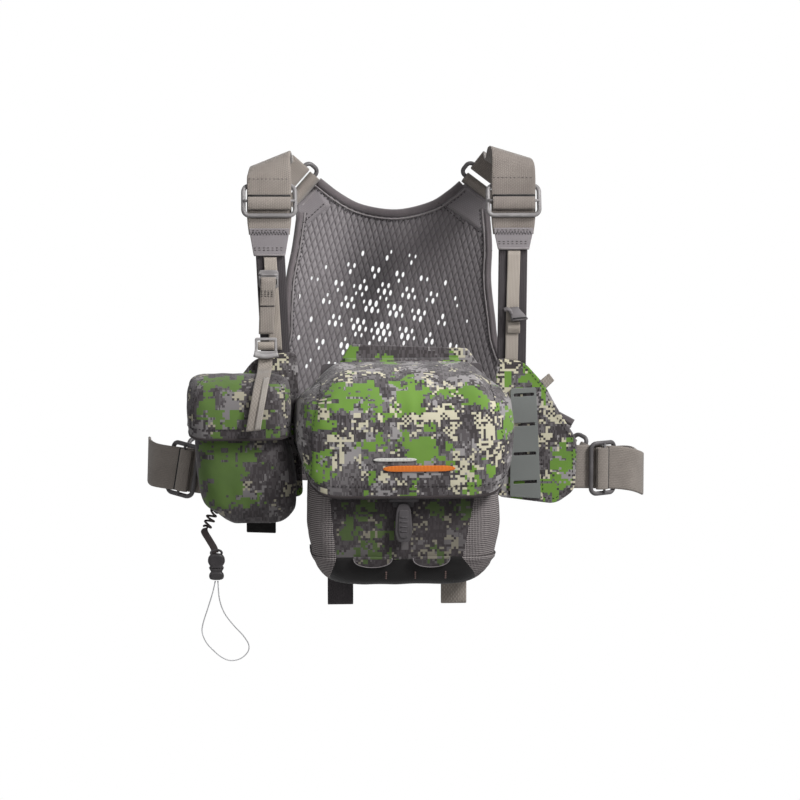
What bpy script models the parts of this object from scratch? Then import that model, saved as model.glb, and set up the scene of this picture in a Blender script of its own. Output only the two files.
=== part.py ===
"""Binocular chest harness: back panel, shoulder and side straps, main pouch with a hooded
lid, accessory pouch with a tether, and a side wing with a slotted accessory panel.

+X is the viewer's right, +Z is up, and the pouches face -Y. The origin is midway between
the tops of the shoulder straps, where the harness hangs on its wearer. Every number below
is in millimetres, and the helpers scale it to metres.
"""

import math

import bmesh
import bpy
import numpy as np
from mathutils import Matrix, Vector

MM = 0.001

# Driving dimensions.
WEBBING = 38.0  # shoulder and side straps, 1.5 inch
CHEST_WEBBING = 25.0
LIFT_WEBBING = 13.0
NARROW_WEBBING = 11.0
DOUBLE_WEBBING = 2.6  # thickness of two layers
SINGLE_WEBBING = 1.6
WEB_Y = -102.0  # plane of the shoulder webbing on the chest
WING_Y = -104.6  # plane of the two wings
WING_THICK = 2.2
POUCH_BACK = -106.0
HALF_TORSO = 180.0
BACK_Y = 104.0
PANEL_THICK = 6.0
BAR_RADIUS = 2.0
RING_SPACING = 14.0  # between a ring's two long bars
SHELL = 2.4  # wall of the fabric shells
LID_HINGE = (0.0, -107.0, -170.0)
ACCESSORY_HINGE = (-138.5, -107.0, -183.0)
LATCH = (-2.5, -190.0, -280.5)  # middle of the bar at the lid's front edge
SLIDER_Z = -35.0
STRAP_X = {"left": -112.0, "right": 97.4}
OUT = {"left": -1.0, "right": 1.0}

COLOURS = {
    "webbing": ((0.24, 0.22, 0.19), 0.85, 0.0),
    "dark_webbing": ((0.05, 0.05, 0.055), 0.85, 0.0),
    "grey_fabric": ((0.16, 0.16, 0.17), 0.9, 0.0),
    "binding": ((0.07, 0.07, 0.075), 0.9, 0.0),
    "camo": ((0.15, 0.2, 0.1), 0.85, 0.0),
    "slate": ((0.1, 0.12, 0.12), 0.7, 0.0),
    "boot": ((0.03, 0.026, 0.024), 0.75, 0.0),
    "foam": ((0.1, 0.1, 0.1), 0.95, 0.0),
    "plastic": ((0.09, 0.09, 0.095), 0.5, 0.0),
    "light_plastic": ((0.2, 0.21, 0.21), 0.45, 0.0),
    "black_cord": ((0.02, 0.015, 0.014), 0.6, 0.0),
    "thin_cord": ((0.45, 0.45, 0.46), 0.5, 0.0),
}


def clear_scene():
    for old in list(bpy.data.objects):
        bpy.data.objects.remove(old, do_unlink=True)


def new_collection(name):
    made = bpy.data.collections.new(name)
    bpy.context.scene.collection.children.link(made)
    return made


def material(name):
    found = bpy.data.materials.get(name)
    if found:
        return found
    colour, roughness, metallic = COLOURS[name]
    made = bpy.data.materials.new(name)
    made.use_nodes = True
    shader = made.node_tree.nodes["Principled BSDF"]
    shader.inputs["Base Color"].default_value = (*colour, 1.0)
    shader.inputs["Roughness"].default_value = roughness
    shader.inputs["Metallic"].default_value = metallic
    return made


def link(name, data, finish, origin=(0, 0, 0)):
    made = bpy.data.objects.new(name, data)
    made.location = Vector(origin) * MM
    data.materials.append(material(finish))
    HARNESS.objects.link(made)
    return made


def surface(name, rows, finish, origin=(0, 0, 0), around=False, cap_first=False, cap_last=False):
    """A grid of quads through rows of points, about the given origin."""
    mesh = bmesh.new()
    base = Vector(origin)
    grid = [[mesh.verts.new((Vector(p) - base) * MM) for p in row] for row in rows]
    columns = len(grid[0])
    for low, high in zip(grid, grid[1:]):
        for i in range(columns if around else columns - 1):
            j = (i + 1) % columns
            mesh.faces.new((low[i], low[j], high[j], high[i]))
    if cap_first:
        mesh.faces.new(grid[0])
    if cap_last:
        mesh.faces.new(list(reversed(grid[-1])))
    bmesh.ops.recalc_face_normals(mesh, faces=mesh.faces)
    data = bpy.data.meshes.new(name)
    mesh.to_mesh(data)
    mesh.free()
    data.shade_smooth()
    return link(name, data, finish, origin)


def thicken(obj, thickness, offset=0.0):
    solid = obj.modifiers.new("thickness", "SOLIDIFY")
    solid.thickness = thickness * MM
    solid.offset = offset
    return obj


def smooth(points, steps):
    """A Catmull-Rom curve through rows of numbers."""
    rows = np.array(points, float)
    padded = np.vstack([2 * rows[0] - rows[1], rows, 2 * rows[-1] - rows[-2]])
    found = []
    for a, b, c, d in zip(padded, padded[1:], padded[2:], padded[3:]):
        for t in np.arange(steps) / steps:
            found.append(0.5 * (2 * b + (c - a) * t + (2 * a - 5 * b + 4 * c - d) * t**2
                                + (3 * b - a - 3 * c + d) * t**3))
    found.append(rows[-1])
    return np.array(found)


def ribbon(name, centres, sides, thickness, finish, origin=(0, 0, 0)):
    """A strap: its centre line, and at each point the half-width vector across it."""
    rows = [(c - s, c, c + s) for c, s in zip(np.array(centres, float), np.array(sides, float))]
    return thicken(surface(name, rows, finish, origin), thickness)


def flat_curve(name, outlines, thickness):
    data = bpy.data.curves.new(name, "CURVE")
    data.dimensions = "2D"
    data.fill_mode = "BOTH"
    data.extrude = thickness / 2 * MM
    for outline in outlines:
        line = data.splines.new("POLY")
        line.points.add(len(outline) - 1)
        for point, (x, z) in zip(line.points, outline):
            point.co = (x * MM, z * MM, 0, 1)
        line.use_cyclic_u = True
    return data


def plate(name, outlines, y, thickness, finish, origin=(0, 0, 0)):
    """A flat piece in the XZ plane: its outline first, then its holes."""
    moved = [[(x - origin[0], z - origin[2]) for x, z in o] for o in outlines]
    made = link(name, flat_curve(name, moved, thickness), finish, (origin[0], y, origin[2]))
    made.rotation_euler = (math.pi / 2, 0, 0)
    return made


def as_mesh(obj):
    """Turns a curve into one welded mesh at the same place."""
    graph = bpy.context.evaluated_depsgraph_get()
    bpy.context.view_layer.update()
    data = bpy.data.meshes.new_from_object(obj.evaluated_get(graph))
    welded = bmesh.new()
    welded.from_mesh(data)
    bmesh.ops.remove_doubles(welded, verts=welded.verts, dist=0.00001)
    welded.to_mesh(data)
    welded.free()
    name, world = obj.name, obj.matrix_world.copy()
    bpy.data.objects.remove(obj, do_unlink=True)
    made = bpy.data.objects.new(name, data)
    made.matrix_world = world
    HARNESS.objects.link(made)
    return made


def tube(name, points, radius, finish, closed=False, origin=(0, 0, 0)):
    data = bpy.data.curves.new(name, "CURVE")
    data.dimensions = "3D"
    data.bevel_depth = radius * MM
    data.bevel_resolution = 2
    data.use_fill_caps = True
    line = data.splines.new("POLY")
    line.points.add(len(points) - 1)
    for point, place in zip(line.points, points):
        point.co = (*((Vector(place) - Vector(origin)) * MM), 1)
    line.use_cyclic_u = closed
    return link(name, data, finish, origin)


def rounded_box(width, height, corner, steps=4):
    """Points round a rectangle with round corners, about its centre."""
    found = []
    for quarter, (sx, sy) in enumerate(((1, 1), (-1, 1), (-1, -1), (1, -1))):
        for i in range(steps + 1):
            angle = math.radians(90 * (quarter + i / steps))
            found.append((sx * (width / 2 - corner) + corner * math.cos(angle),
                          sy * (height / 2 - corner) + corner * math.sin(angle)))
    return found


def ring(name, centre, along, across):
    """A rectangular ring of round bar: along its long bars, across between them."""
    outline = rounded_box(WEBBING + 9, RING_SPACING, 6)
    points = [Vector(centre) + Vector(along) * x + Vector(across) * y for x, y in outline]
    return tube(name, points, BAR_RADIUS, "plastic", closed=True)


def wrap(bar, toward, normal, radius, steps=8):
    """An arc round a bar, from its normal's side past the side away from toward."""
    found = []
    for i in range(steps + 1):
        angle = math.pi * i / steps
        found.append(np.array(bar) + np.array(normal) * radius * math.cos(angle)
                     - np.array(toward) * radius * math.sin(angle))
    return found


def keeper(name, anchor, bar, toward, normal, along):
    """A short webbing loop from a panel's edge round the bar of a ring."""
    radius = BAR_RADIUS + 0.5 + SINGLE_WEBBING / 2
    lift = np.array(normal) * 1.4
    path = [np.array(anchor) + lift, *wrap(bar, toward, normal, radius), np.array(anchor) - lift]
    side = np.array(along) * (WEBBING / 2 - 1)
    return ribbon(name, path, [side] * len(path), SINGLE_WEBBING, "webbing")


def tri_glide(name, frame, travel_origin):
    """A three-bar slider about a strap in the plane y = 0 of frame, which runs along its z.

    Its top bar lies behind the strap, and its middle and bottom bars in front."""
    width, height = WEBBING + 6, 25.0
    points = []
    for x, z in rounded_box(width, height, 5, steps=3):
        y = np.interp(z, (-height / 2, 0, height / 2), (-4.0, -4.2, 3.9))
        points.append(frame @ Vector((x, y, z)))
    made = as_mesh(tube(name, points, 1.8, "plastic", closed=True, origin=travel_origin))
    ends = [frame @ Vector((x, -4.4, 0)) for x in (-width / 2, width / 2)]
    bar = as_mesh(tube(name + "_bar", ends, 1.2, "plastic", origin=travel_origin))
    join = made.modifiers.new("middle_bar", "BOOLEAN")
    join.operation = "UNION"
    join.object = bar
    HARNESS.objects.unlink(bar)
    CUTTERS.objects.link(bar)
    bar.hide_render = True
    bar.display_type = "WIRE"
    made.data.shade_smooth()
    return made


def glide_roll(name, frame, travel_origin):
    """The webbing's end, sewn round the slider's middle bar."""
    half = WEBBING / 2 - 0.5
    rows = []
    for x in (-half, half):
        rows.append([frame @ Vector((x, -4.4 + 2.2 * math.cos(a), 2.2 * math.sin(a)))
                     for a in np.arange(14) * math.tau / 14])
    roll = surface(name, rows, "webbing", travel_origin, around=True)
    return thicken(roll, 1.0)


def panel_y(x, z):
    """The back panel's depth: it curves round the torso and leans in over the shoulders."""
    lean = 12.0 * max(0.0, (z + 180.0) / 155.0) ** 2
    return BACK_Y - 22.0 * (x / HALF_TORSO) ** 2 - lean


def on_panel(points):
    return [(x, panel_y(x, z), z) for x, z in points]


def inset(points, distance):
    """The line moved sideways in its plane, to the right of its direction."""
    line = np.array(points, float)
    along = np.gradient(line, axis=0)
    along /= np.linalg.norm(along, axis=1)[:, None]
    return line + np.stack([along[:, 1], -along[:, 0]], axis=1) * distance


def evenly(points, count):
    """Points at equal steps along a line."""
    line = np.array(points, float)
    reach = np.concatenate([[0], np.cumsum(np.linalg.norm(np.diff(line, axis=0), axis=1))])
    wanted = np.linspace(0, reach[-1], count)
    return np.stack([np.interp(wanted, reach, line[:, k]) for k in range(line.shape[1])], axis=1)


NECK = smooth([(-60, -20.5), (-43, -33.5), (-22, -44), (9, -48.3), (39, -41.5), (56, -31),
               (64.5, -23.5)], 4)
ARM = {
    "left": smooth([(-84.5, -50), (-89, -82), (-94.8, -112), (-97, -142), (-99, -172),
                    (-113, -203), (-145, -231), (-176, -246)], 3),
    "right": smooth([(95.5, -47.5), (98.5, -82), (98, -115), (102, -150), (106, -176),
                     (120, -205), (148, -230), (176, -246)], 3),
}
NECK_BAND = 8.4
ARM_BAND = 7.0


def back_panel():
    """A Coons patch between the neck, the hem and the two arm edges."""
    rows, columns = 19, 27
    neck = inset(NECK, NECK_BAND + 0.5)
    left = inset(ARM["left"], -ARM_BAND - 0.8)
    right = inset(ARM["right"], ARM_BAND + 0.8)
    left[0], right[0] = (-77.0, -46.0), (87.6, -43.5)
    left = evenly(np.vstack([left[:-1], (-171, -257), (-153.5, -293)]), rows)
    right = evenly(np.vstack([right[:-1], (171, -257), (153.5, -293)]), rows)
    top = evenly(np.vstack([left[0], (-66, -30), neck[1:-1], (73, -30), right[0]]), columns)
    hem = evenly(smooth([left[-1], (-110, -303), (0, -308), (110, -303), right[-1]], 6), columns)
    grid = []
    for v in np.linspace(0, 1, rows):
        row = []
        side = int(round(v * (rows - 1)))
        for u, upper, lower in zip(np.linspace(0, 1, columns), top, hem):
            edges = (1 - v) * upper + v * lower + (1 - u) * left[side] + u * right[side]
            corners = ((1 - u) * (1 - v) * left[0] + u * (1 - v) * right[0]
                       + (1 - u) * v * left[-1] + u * v * right[-1])
            row.append(edges - corners)
        grid.append(on_panel(row))
    thicken(surface("back_panel", grid, "grey_fabric"), PANEL_THICK)


def band(name, edge, width, finish):
    """A padded edge binding just inside an edge of the back panel."""
    line = inset(edge, width / 2)
    across = (inset(edge, 1.0) - edge) * (abs(width) / 2 - 0.2)
    centres = on_panel(line)
    ends = on_panel(line + across)
    sides = [np.array(e) - np.array(c) for c, e in zip(centres, ends)]
    made = ribbon(name, centres, sides, PANEL_THICK + 1.5, finish)
    return made


def bindings():
    band("neck_binding", NECK, NECK_BAND, "binding")
    band("arm_binding_left", ARM["left"][:-2], -ARM_BAND, "binding")
    band("arm_binding_right", ARM["right"][:-2], ARM_BAND, "binding")


RING_AT = {
    "left": ((-73.5, -35.5), (-0.66, 0.0, -0.75)),
    "right": ((82.0, -34.5), (0.80, 0.0, -0.60)),
}


def unit(v):
    return np.array(v, float) / np.linalg.norm(v)


def shoulder(side):
    """The ring on the back panel's corner, its keeper, and the strap over the shoulder."""
    out = OUT[side]
    (x, z), along = RING_AT[side]
    along = unit(along)
    anchor = np.array((x, panel_y(x, z), z)) + np.array((along[2] * -out, 0, along[0] * out)) * 2.5
    rise = np.array((-along[2] * out, 0, along[0] * out))
    toward = unit(0.93 * rise + np.array((0, -0.37, 0)))
    normal = unit(np.cross(along, toward)) * -out
    near = anchor + toward * 6
    far = near + toward * RING_SPACING
    ring(f"rear_ring_{side}", (near + far) / 2, along, toward)
    keeper(f"rear_keeper_{side}", anchor, near, -toward, normal, along)
    front = STRAP_X[side]
    lean = {"left": 0.40, "right": 0.30}[side]
    peak = {"left": 0.0, "right": 4.0}[side]
    body = [
        (front, WEB_Y, -64.0, 0.0, 17.5), (front, WEB_Y, -50.0, 0.0, 19.0),
        (front, WEB_Y, -30.0, 0.0, 19.0), (front, WEB_Y, -15.0, 0.06, 19.0),
        (front, WEB_Y + 3, peak - 6.5, 0.8 * lean, 19.0),
        (front - out, WEB_Y + 10, peak - 1, lean, 19.0),
        (front - out * 2, WEB_Y + 24, peak - 1.5, 1.02 * lean, 19.0),
    ]
    centres = [row[:3] for row in body]
    sides = [unit((out, 0, -row[3])) * row[4] for row in body]
    start, ends = np.array(centres[-1]), far + normal * 4.3 + toward * 14
    for share in (0.3, 0.55, 0.8):
        middle = start + (ends - start) * share + np.array((0, 0, 2.0 * math.sin(math.pi * share)))
        centres.append(middle)
        sides.append(unit(sides[6] / 19.0 * (1 - share) + along * share) * 19.0)
    centres.append(ends)
    sides.append(along * 19.0)
    joined = smooth(np.hstack([np.array(centres), np.array(sides)]), 3)
    radius = BAR_RADIUS + 0.6 + DOUBLE_WEBBING / 2
    loop = wrap(far, toward, normal, radius)
    loop.append(loop[-1] + toward * 12 + normal * 0.6)
    loop.append(loop[-1] + toward * 16 + normal * 0.4 + np.array((0, -3, 0)))
    path = np.vstack([joined[:, :3], loop])
    across = np.vstack([joined[:, 3:], [along * 19.0] * len(loop)])
    ribbon(f"shoulder_webbing_{side}", path, across, DOUBLE_WEBBING, "webbing")


def slider(side):
    """The shoulder strap's slider and the roll of webbing on its middle bar."""
    origin = (STRAP_X[side], WEB_Y, SLIDER_Z)
    frame = Matrix.Translation(origin)
    tri_glide(f"shoulder_slider_{side}", frame, origin)
    glide_roll(f"slider_roll_{side}", frame, origin)


def chest_run(side):
    """Below the slider: the tapered patch, the chest strap and the narrow webbing over it."""
    x = STRAP_X[side]
    outline = [(x - 17.5, -58.5), (x + 17.5, -58.5), (x + 13.5, -82), (x - 13.5, -82)]
    plate(f"taper_patch_{side}", [outline], -104.9, 2.0, "grey_fabric")
    foot = {"left": -170.0, "right": -178.0}[side]
    shift = {"left": 5.0, "right": -1.0}[side]
    path = np.linspace((x, WEB_Y, -66), (x + shift, WEB_Y, foot), 8)
    across = [(CHEST_WEBBING / 2, 0, 0)] * 8
    ribbon(f"chest_strap_{side}", path, across, SINGLE_WEBBING, "dark_webbing")
    low = {"left": -162.5, "right": -169.0}[side]
    lean = {"left": 4.5, "right": -2.0}[side]
    offset = {"left": 0.5, "right": 0.5}[side]
    path = np.linspace((x + offset, -104.6, -83), (x + offset + lean, -104.6, low), 8)
    across = [(NARROW_WEBBING / 2, 0, 0)] * 8
    ribbon(f"narrow_webbing_{side}", path, across, 1.2, "webbing")


LOCK_X = -115.5
LOCK_TOP = -151.5
LOCK_HINGE = (LOCK_X, -107.2, LOCK_TOP - 1.5)


def lift_straps():
    """Left side: the glide on the narrow webbing, the lift strap and its ladder lock."""
    x = -113.0
    outline = [(x - 8.5, -94), (x + 8.5, -94), (x + 8.5, -109.5), (x - 8.5, -109.5)]
    slot = [(x - 6.8, -102), (x + 6.8, -102), (x + 6.8, -106.5), (x - 6.8, -106.5)]
    plate("upper_glide", [outline, slot], -106.9, 2.2, "light_plastic")
    top = (x - 0.3, -109.6, -99.5)
    path = [top, (x - 0.3, -110.0, -104), (x - 0.8, -110.0, -112), (x - 1.5, -110.0, -128),
            (x - 2.2, -110.0, -148.5)]
    across = [(LIFT_WEBBING / 2, 0, 0)] * len(path)
    ribbon("lift_strap", path, across, DOUBLE_WEBBING, "webbing")


def ladder_lock():
    """A ladder lock: two slots, and a bottom lip that lifts to let the webbing slip."""
    x, top = LOCK_X, LOCK_TOP
    outline = [(x - 9.5, top), (x + 9.5, top), (x + 9.5, top - 10), (x + 10.5, top - 17.5),
               (x - 10.5, top - 17.5), (x - 9.5, top - 10)]
    window = [(x - 7.2, top - 2.4), (x + 7.2, top - 2.4), (x + 7.2, top - 11.5),
              (x - 7.2, top - 11.5)]
    lock = as_mesh(plate("ladder_lock", [outline, window], -111.0, 2.2, "light_plastic"))
    for vertex in lock.data.vertices:
        drop = -vertex.co.y / MM + top
        if drop > 15:
            vertex.co.z += 3.0 * MM
    world = lock.matrix_world.copy()
    lock.data.transform(Matrix.Translation(Vector(LOCK_HINGE) * -MM) @ world)
    lock.matrix_world = Matrix.Translation(Vector(LOCK_HINGE) * MM)
    rows = []
    for end in (x - 6.5, x + 6.5):
        rows.append([(end, -110.4 + 2.4 * math.cos(a), top - 7 + 3.2 * math.sin(a))
                     for a in np.arange(14) * math.tau / 14])
    roll = surface("ladder_roll", rows, "webbing", around=True, cap_first=True, cap_last=True)
    return roll


def tail():
    """The loose end below the ladder lock: a root piece, and the part that lies on the lid."""
    upper = [(-115.5, -108.2, -164.5), (-115.9, -108.2, -168), (-116.2, -108.2, -171.5)]
    ribbon("tail_upper", upper, [(6.2, 0, 0)] * 3, 1.6, "webbing")
    lower = smooth([(-117, -118, -179.6), (-118, -140, -180.0), (-120, -160, -186.0),
                    (-122.5, -172, -199), (-125, -175.5, -212), (-127, -176, -224)], 3)
    ribbon("tail_lower", lower, [(6.2, 0, 0)] * len(lower), 2.2, "webbing", ACCESSORY_HINGE)


def keeper_hook():
    """Right side: a small hook clip that slides on the narrow webbing."""
    x, top, y = 97.5, -127.0, -106.6
    rows = []
    for half, z, front in ((6.0, 0, 3.0), (7.5, -4, 4.0), (9.5, -9, 6.5), (11.0, -13, 7.5)):
        shift = 1.5 * (half - 6.0) / 5.0
        rows.append([(x + shift + dx, y - dy, top + z) for dx, dy in
                     ((-half, 0), (half, 0), (half, front * 0.5), (half - 2, front),
                      (2 - half, front), (-half, front * 0.5))])
    surface("keeper_hook", rows, "plastic", (x, y, top), around=True, cap_first=True,
            cap_last=True)


def wings():
    """The two fabric wings beside the main pouch, and what is sewn on the right one."""
    left = [(-89, -164), (-116, -167), (-127, -172), (-144, -194), (-157, -238), (-157, -276),
            (-138, -288), (-84, -290)]
    right = [(83, -170), (107, -174), (125, -194), (137, -216), (153.5, -242), (152, -286),
             (135, -298), (83, -291)]
    plate("wing_left", [left], WING_Y, WING_THICK, "camo")
    plate("wing_right", [right], WING_Y, WING_THICK, "camo")
    panel = [(95, -190), (119.5, -189), (124, -294), (95, -292)]
    slots = []
    for z in (-195.5, -224, -253, -282):
        right_end = 117.0 + (z + 195) * -0.035
        slots.append([(98, z + 0.3), (right_end, z + 1.2), (right_end, z - 2.4), (98, z - 3.3)])
    plate("molle_panel", [panel, *slots], -107.0, 1.8, "slate")
    tab = [(119, -192.5), (129, -184.3), (133.8, -190.6), (125, -199)]
    plate("wing_tab", [tab], -102.2, 2.0, "webbing")


def cup(name, levels, back_corner, front_corner, finish, thickness):
    """A pouch: rounded rings down from its rim, closed at the bottom.

    A level is z, left x, right x, back y and front y."""
    rows = []
    for z, x0, x1, back, front in levels:
        row = []
        corners = ((x1, back, 0, back_corner), (x0, back, 90, back_corner),
                   (x0, front, 180, front_corner), (x1, front, 270, front_corner))
        for x, y, turn, radius in corners:
            radius = min(radius, 0.45 * (back - front))
            inner = (x - math.copysign(radius, x - (x0 + x1) / 2),
                     y - math.copysign(radius, y - (back + front) / 2))
            for i in range(5):
                angle = math.radians(turn + 22.5 * i)
                row.append((inner[0] + radius * math.cos(angle),
                            inner[1] + radius * math.sin(angle), z))
        rows.append(row)
    made = surface(name, rows, finish, around=True, cap_last=True)
    return thicken(made, thickness, -1.0)


def hood(name, levels, finish, origin, centre, back, thickness):
    """A lid: from its hinge line over the top, down the front and both sides.

    A level is half width at the back and the front, front y, front z, z at the back of its
    sides, and the radius of its front corners."""
    rows = []
    for half_back, half, front, z_front, z_back, corner in levels:
        radius = min(corner, 0.48 * (back - front), half * 0.5)
        side = [(half_back + (half - half_back) * s * s, back + (front + radius - back) * s)
                for s in (0, 0.33, 0.66)]
        line = [(-x, y) for x, y in side]
        for turn in (180, 270):
            for i in range(5):
                angle = math.radians(turn + 22.5 * i)
                x = math.copysign(half - radius, -1 if turn == 180 else 1)
                line.append((x + radius * math.cos(angle), front + radius + radius * math.sin(angle)))
            if turn == 180:
                line += [((half - radius) * s, front) for s in (-0.6, -0.2, 0.2, 0.6)]
        line += reversed(side)
        rows.append([(centre + x, y, z_back + (z_front - z_back) * ((back - y) / (back - front)))
                     for x, y in line])
    made = surface(name, rows, finish, origin)
    return thicken(made, thickness, -1.0)


def main_pouch():
    levels = [(-190, -75, 74, POUCH_BACK, -170), (-235, -77, 76, POUCH_BACK, -176),
              (-262, -79, 78, POUCH_BACK, -179), (-285, -81.5, 80.5, POUCH_BACK, -181),
              (-310, -82, 81, POUCH_BACK, -182), (-331, -78, 76.5, POUCH_BACK, -181)]
    cup("pouch_body", levels, 6, 22, "camo", SHELL)
    boot = [(-332.2, -77.7, 76.2, POUCH_BACK, -180.7), (-345, -71.5, 70, POUCH_BACK, -177),
            (-353, -64.5, 63, -109, -171), (-357, -55.5, 54, -114, -163)]
    cup("pouch_boot", boot, 6, 22, "boot", SHELL)
    pad = rounded_box(120, 48, 14)
    data = flat_curve("base_pad", [pad], 4.0)
    link("base_pad", data, "foam", (-3, -142, -327))
    strip = [(-43, -158), (58, -162), (75, -187), (-60, -187)]
    plate("hinge_strip", [strip], -104.2, 2.4, "camo")
    for side, x in (("left", -52.7), ("right", 45.0)):
        path = [(x, -120.6, -360), (x, -120.4, -375), (x, -120.9, -379), (x, -122.0, -380.6),
                (x, -123.1, -379), (x, -123.6, -375), (x, -123.4, -360)]
        ribbon(f"bottom_loop_{side}", path, [(11, 0, 0)] * 7, SINGLE_WEBBING, "dark_webbing")


def main_lid():
    levels = [(50, 50, -114, -168, -169.5, 30), (66, 66, -128, -168.5, -173, 32),
              (78, 78, -146, -171.5, -181, 34), (86, 86, -168, -180, -190, 34),
              (91, 90, -184, -200, -203, 34), (93, 91.5, -191, -228, -215, 30),
              (93, 90, -194, -250, -224, 26), (92.5, 86.5, -195, -266, -231, 20),
              (92, 81, -194, -274, -236, 16)]
    hood("main_lid", levels, "camo", LID_HINGE, 1.0, -109.2, 2.6)
    x, y, z = LATCH
    bar = tube("latch_bar", [(x - 12.5, y, z), (x + 12.5, y, z)], 2.6, "plastic", origin=LATCH)
    bar.data.bevel_resolution = 3
    half = [(3.5, -4.5), (7, -20.5), (7.3, -28.5), (4.5, -36)]
    outline = [(x + dx, z + dz) for dx, dz in half]
    outline += [(x - dx, z + dz) for dx, dz in reversed(half)]
    plate("pull_tab", [outline], y, 2.6, "light_plastic", LATCH)
    catch = [(x - 9, z + 3.5), (x + 9, z + 3.5), (x + 9, z - 7.5), (x - 9, z - 7.5)]
    plate("latch_catch", [catch], y + 5.4, 2.6, "plastic")


def accessory_pouch():
    levels = [(-191, -176, -99.5, POUCH_BACK, -154), (-232, -176, -98.5, POUCH_BACK, -160),
              (-242, -176.5, -94.5, POUCH_BACK, -161),
              (-270, -174, -90, POUCH_BACK, -162), (-290, -169, -90, -108, -159),
              (-299, -158.5, -94, -112, -153), (-306.5, -147, -102, -118, -146)]
    cup("accessory_body", levels, 6, 18, "camo", SHELL)
    lid = [(30, 30, -112, -181.5, -183, 16), (37, 37, -126, -181, -185, 16),
           (41.5, 41.5, -143, -183.5, -189, 16), (43.3, 43.3, -158, -190, -198, 16),
           (43.6, 43.6, -166, -202, -206, 16), (43.5, 43.3, -169.5, -218, -213, 16),
           (43.5, 42.5, -170, -232, -219, 16)]
    hood("accessory_lid", lid, "camo", ACCESSORY_HINGE, -138.5, -109.0, 2.4)
    tab = [(-133, -309), (-108, -309), (-108, -317.5), (-133, -316.5)]
    plate("accessory_tab", [tab], -130, 2.4, "dark_webbing")


# The tether hangs from the accessory pouch's left bottom corner.
COIL_ROUTE = [(-163.8, -139, -299), (-164.6, -139.6, -303), (-166, -140, -308),
              (-167.2, -140, -313)]
STRAP_ROUTE = [(-169.0, -140, -315.2), (-168.6, -140, -318), (-165.5, -140, -323),
               (-162.2, -140, -329), (-160.8, -140, -333)]
CLIP_X = -159.8
LOOP_ROUTE = [(-159.9, -140, -356.5), (-162, -140, -366), (-166, -140, -379), (-170.5, -140, -393),
              (-171.3, -140, -401), (-168, -140, -409.5), (-162, -140, -416.5),
              (-155, -140, -422.5), (-147.5, -140, -425.5), (-139, -140, -424),
              (-132.8, -140, -418.5), (-131.8, -140, -412), (-136.5, -140, -404),
              (-145, -140, -394.5), (-152.5, -140, -384), (-156.5, -140, -372),
              (-157.7, -140, -356.5)]
CORD_RADIUS = 0.5


def tether():
    route = smooth(COIL_ROUTE, 4)
    tube("coil_tether", route, 4.0, "black_cord")
    route = smooth(STRAP_ROUTE, 4)
    ribbon("tether_strap", route, [(2.9, 0, 0.9)] * len(route), 1.2, "black_cord")
    top, waist, foot = -334.0, -345.4, -355.5
    upper = [(5.2, top), (6.9, top - 1.5), (7.2, top - 6), (6.6, waist + 0.4)]
    lower = [(6.4, waist), (5.9, waist - 3), (6.2, foot + 2), (4.6, foot)]
    origin = (CLIP_X, -140, waist)
    for name, levels in (("clip_upper", upper), ("clip_lower", lower)):
        rows = []
        for half, z in levels:
            depth = 3.4 * min(1.0, half / 6.4)
            rows.append([(CLIP_X + x, -140 + y, z) for x, y in rounded_box(2 * half, 2 * depth, 1.8, 2)])
        surface(name, rows, "plastic", origin, around=True, cap_first=True, cap_last=True)
    socket = cutter_box("clip_socket", (CLIP_X, -140, waist + 2.6), (8.6, 3.6, 9.0))
    cut = bpy.data.objects["clip_upper"].modifiers.new("socket", "BOOLEAN")
    cut.operation = "DIFFERENCE"
    cut.object = socket
    tongue = cutter_box("clip_tongue", (CLIP_X, -140, waist + 1.6), (7.8, 2.8, 6.0))
    add = bpy.data.objects["clip_lower"].modifiers.new("tongue", "BOOLEAN")
    add.operation = "UNION"
    add.object = tongue
    tube("loop_cord", smooth(LOOP_ROUTE, 4), CORD_RADIUS, "thin_cord")


def cutter_box(name, centre, size):
    data = bpy.data.meshes.new(name)
    box = bmesh.new()
    bmesh.ops.create_cube(box, size=1.0)
    box.to_mesh(data)
    box.free()
    data.transform(Matrix.Diagonal((*(Vector(size) * MM), 1.0)))
    made = bpy.data.objects.new(name, data)
    made.location = Vector(centre) * MM
    made.hide_render = True
    made.display_type = "WIRE"
    CUTTERS.objects.link(made)
    return made


SIDE_SLIDER_AT = {"left": (-187.5, -93.6, -266.5), "right": (177.0, -96.6, -267.8)}
SIDE_RUN = (0.962, 0.272)
SIDE_RING = (166.5, 80.0, -279.0)  # middle of the right side ring's keeper bar
SIDE_PULL = (0.84, -0.54)  # x and y from the back panel towards the strap
SIDE_LEAN = {"left": 0.17, "right": 0.0}  # how far the strap's upper edge leans inwards


def upright(side, share=1.0):
    """The direction across a side strap where it lies on the chest."""
    lean = SIDE_LEAN[side] * share
    return unit((-SIDE_RUN[0] * OUT[side] * lean, -SIDE_RUN[1] * lean, 1.0))


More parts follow.
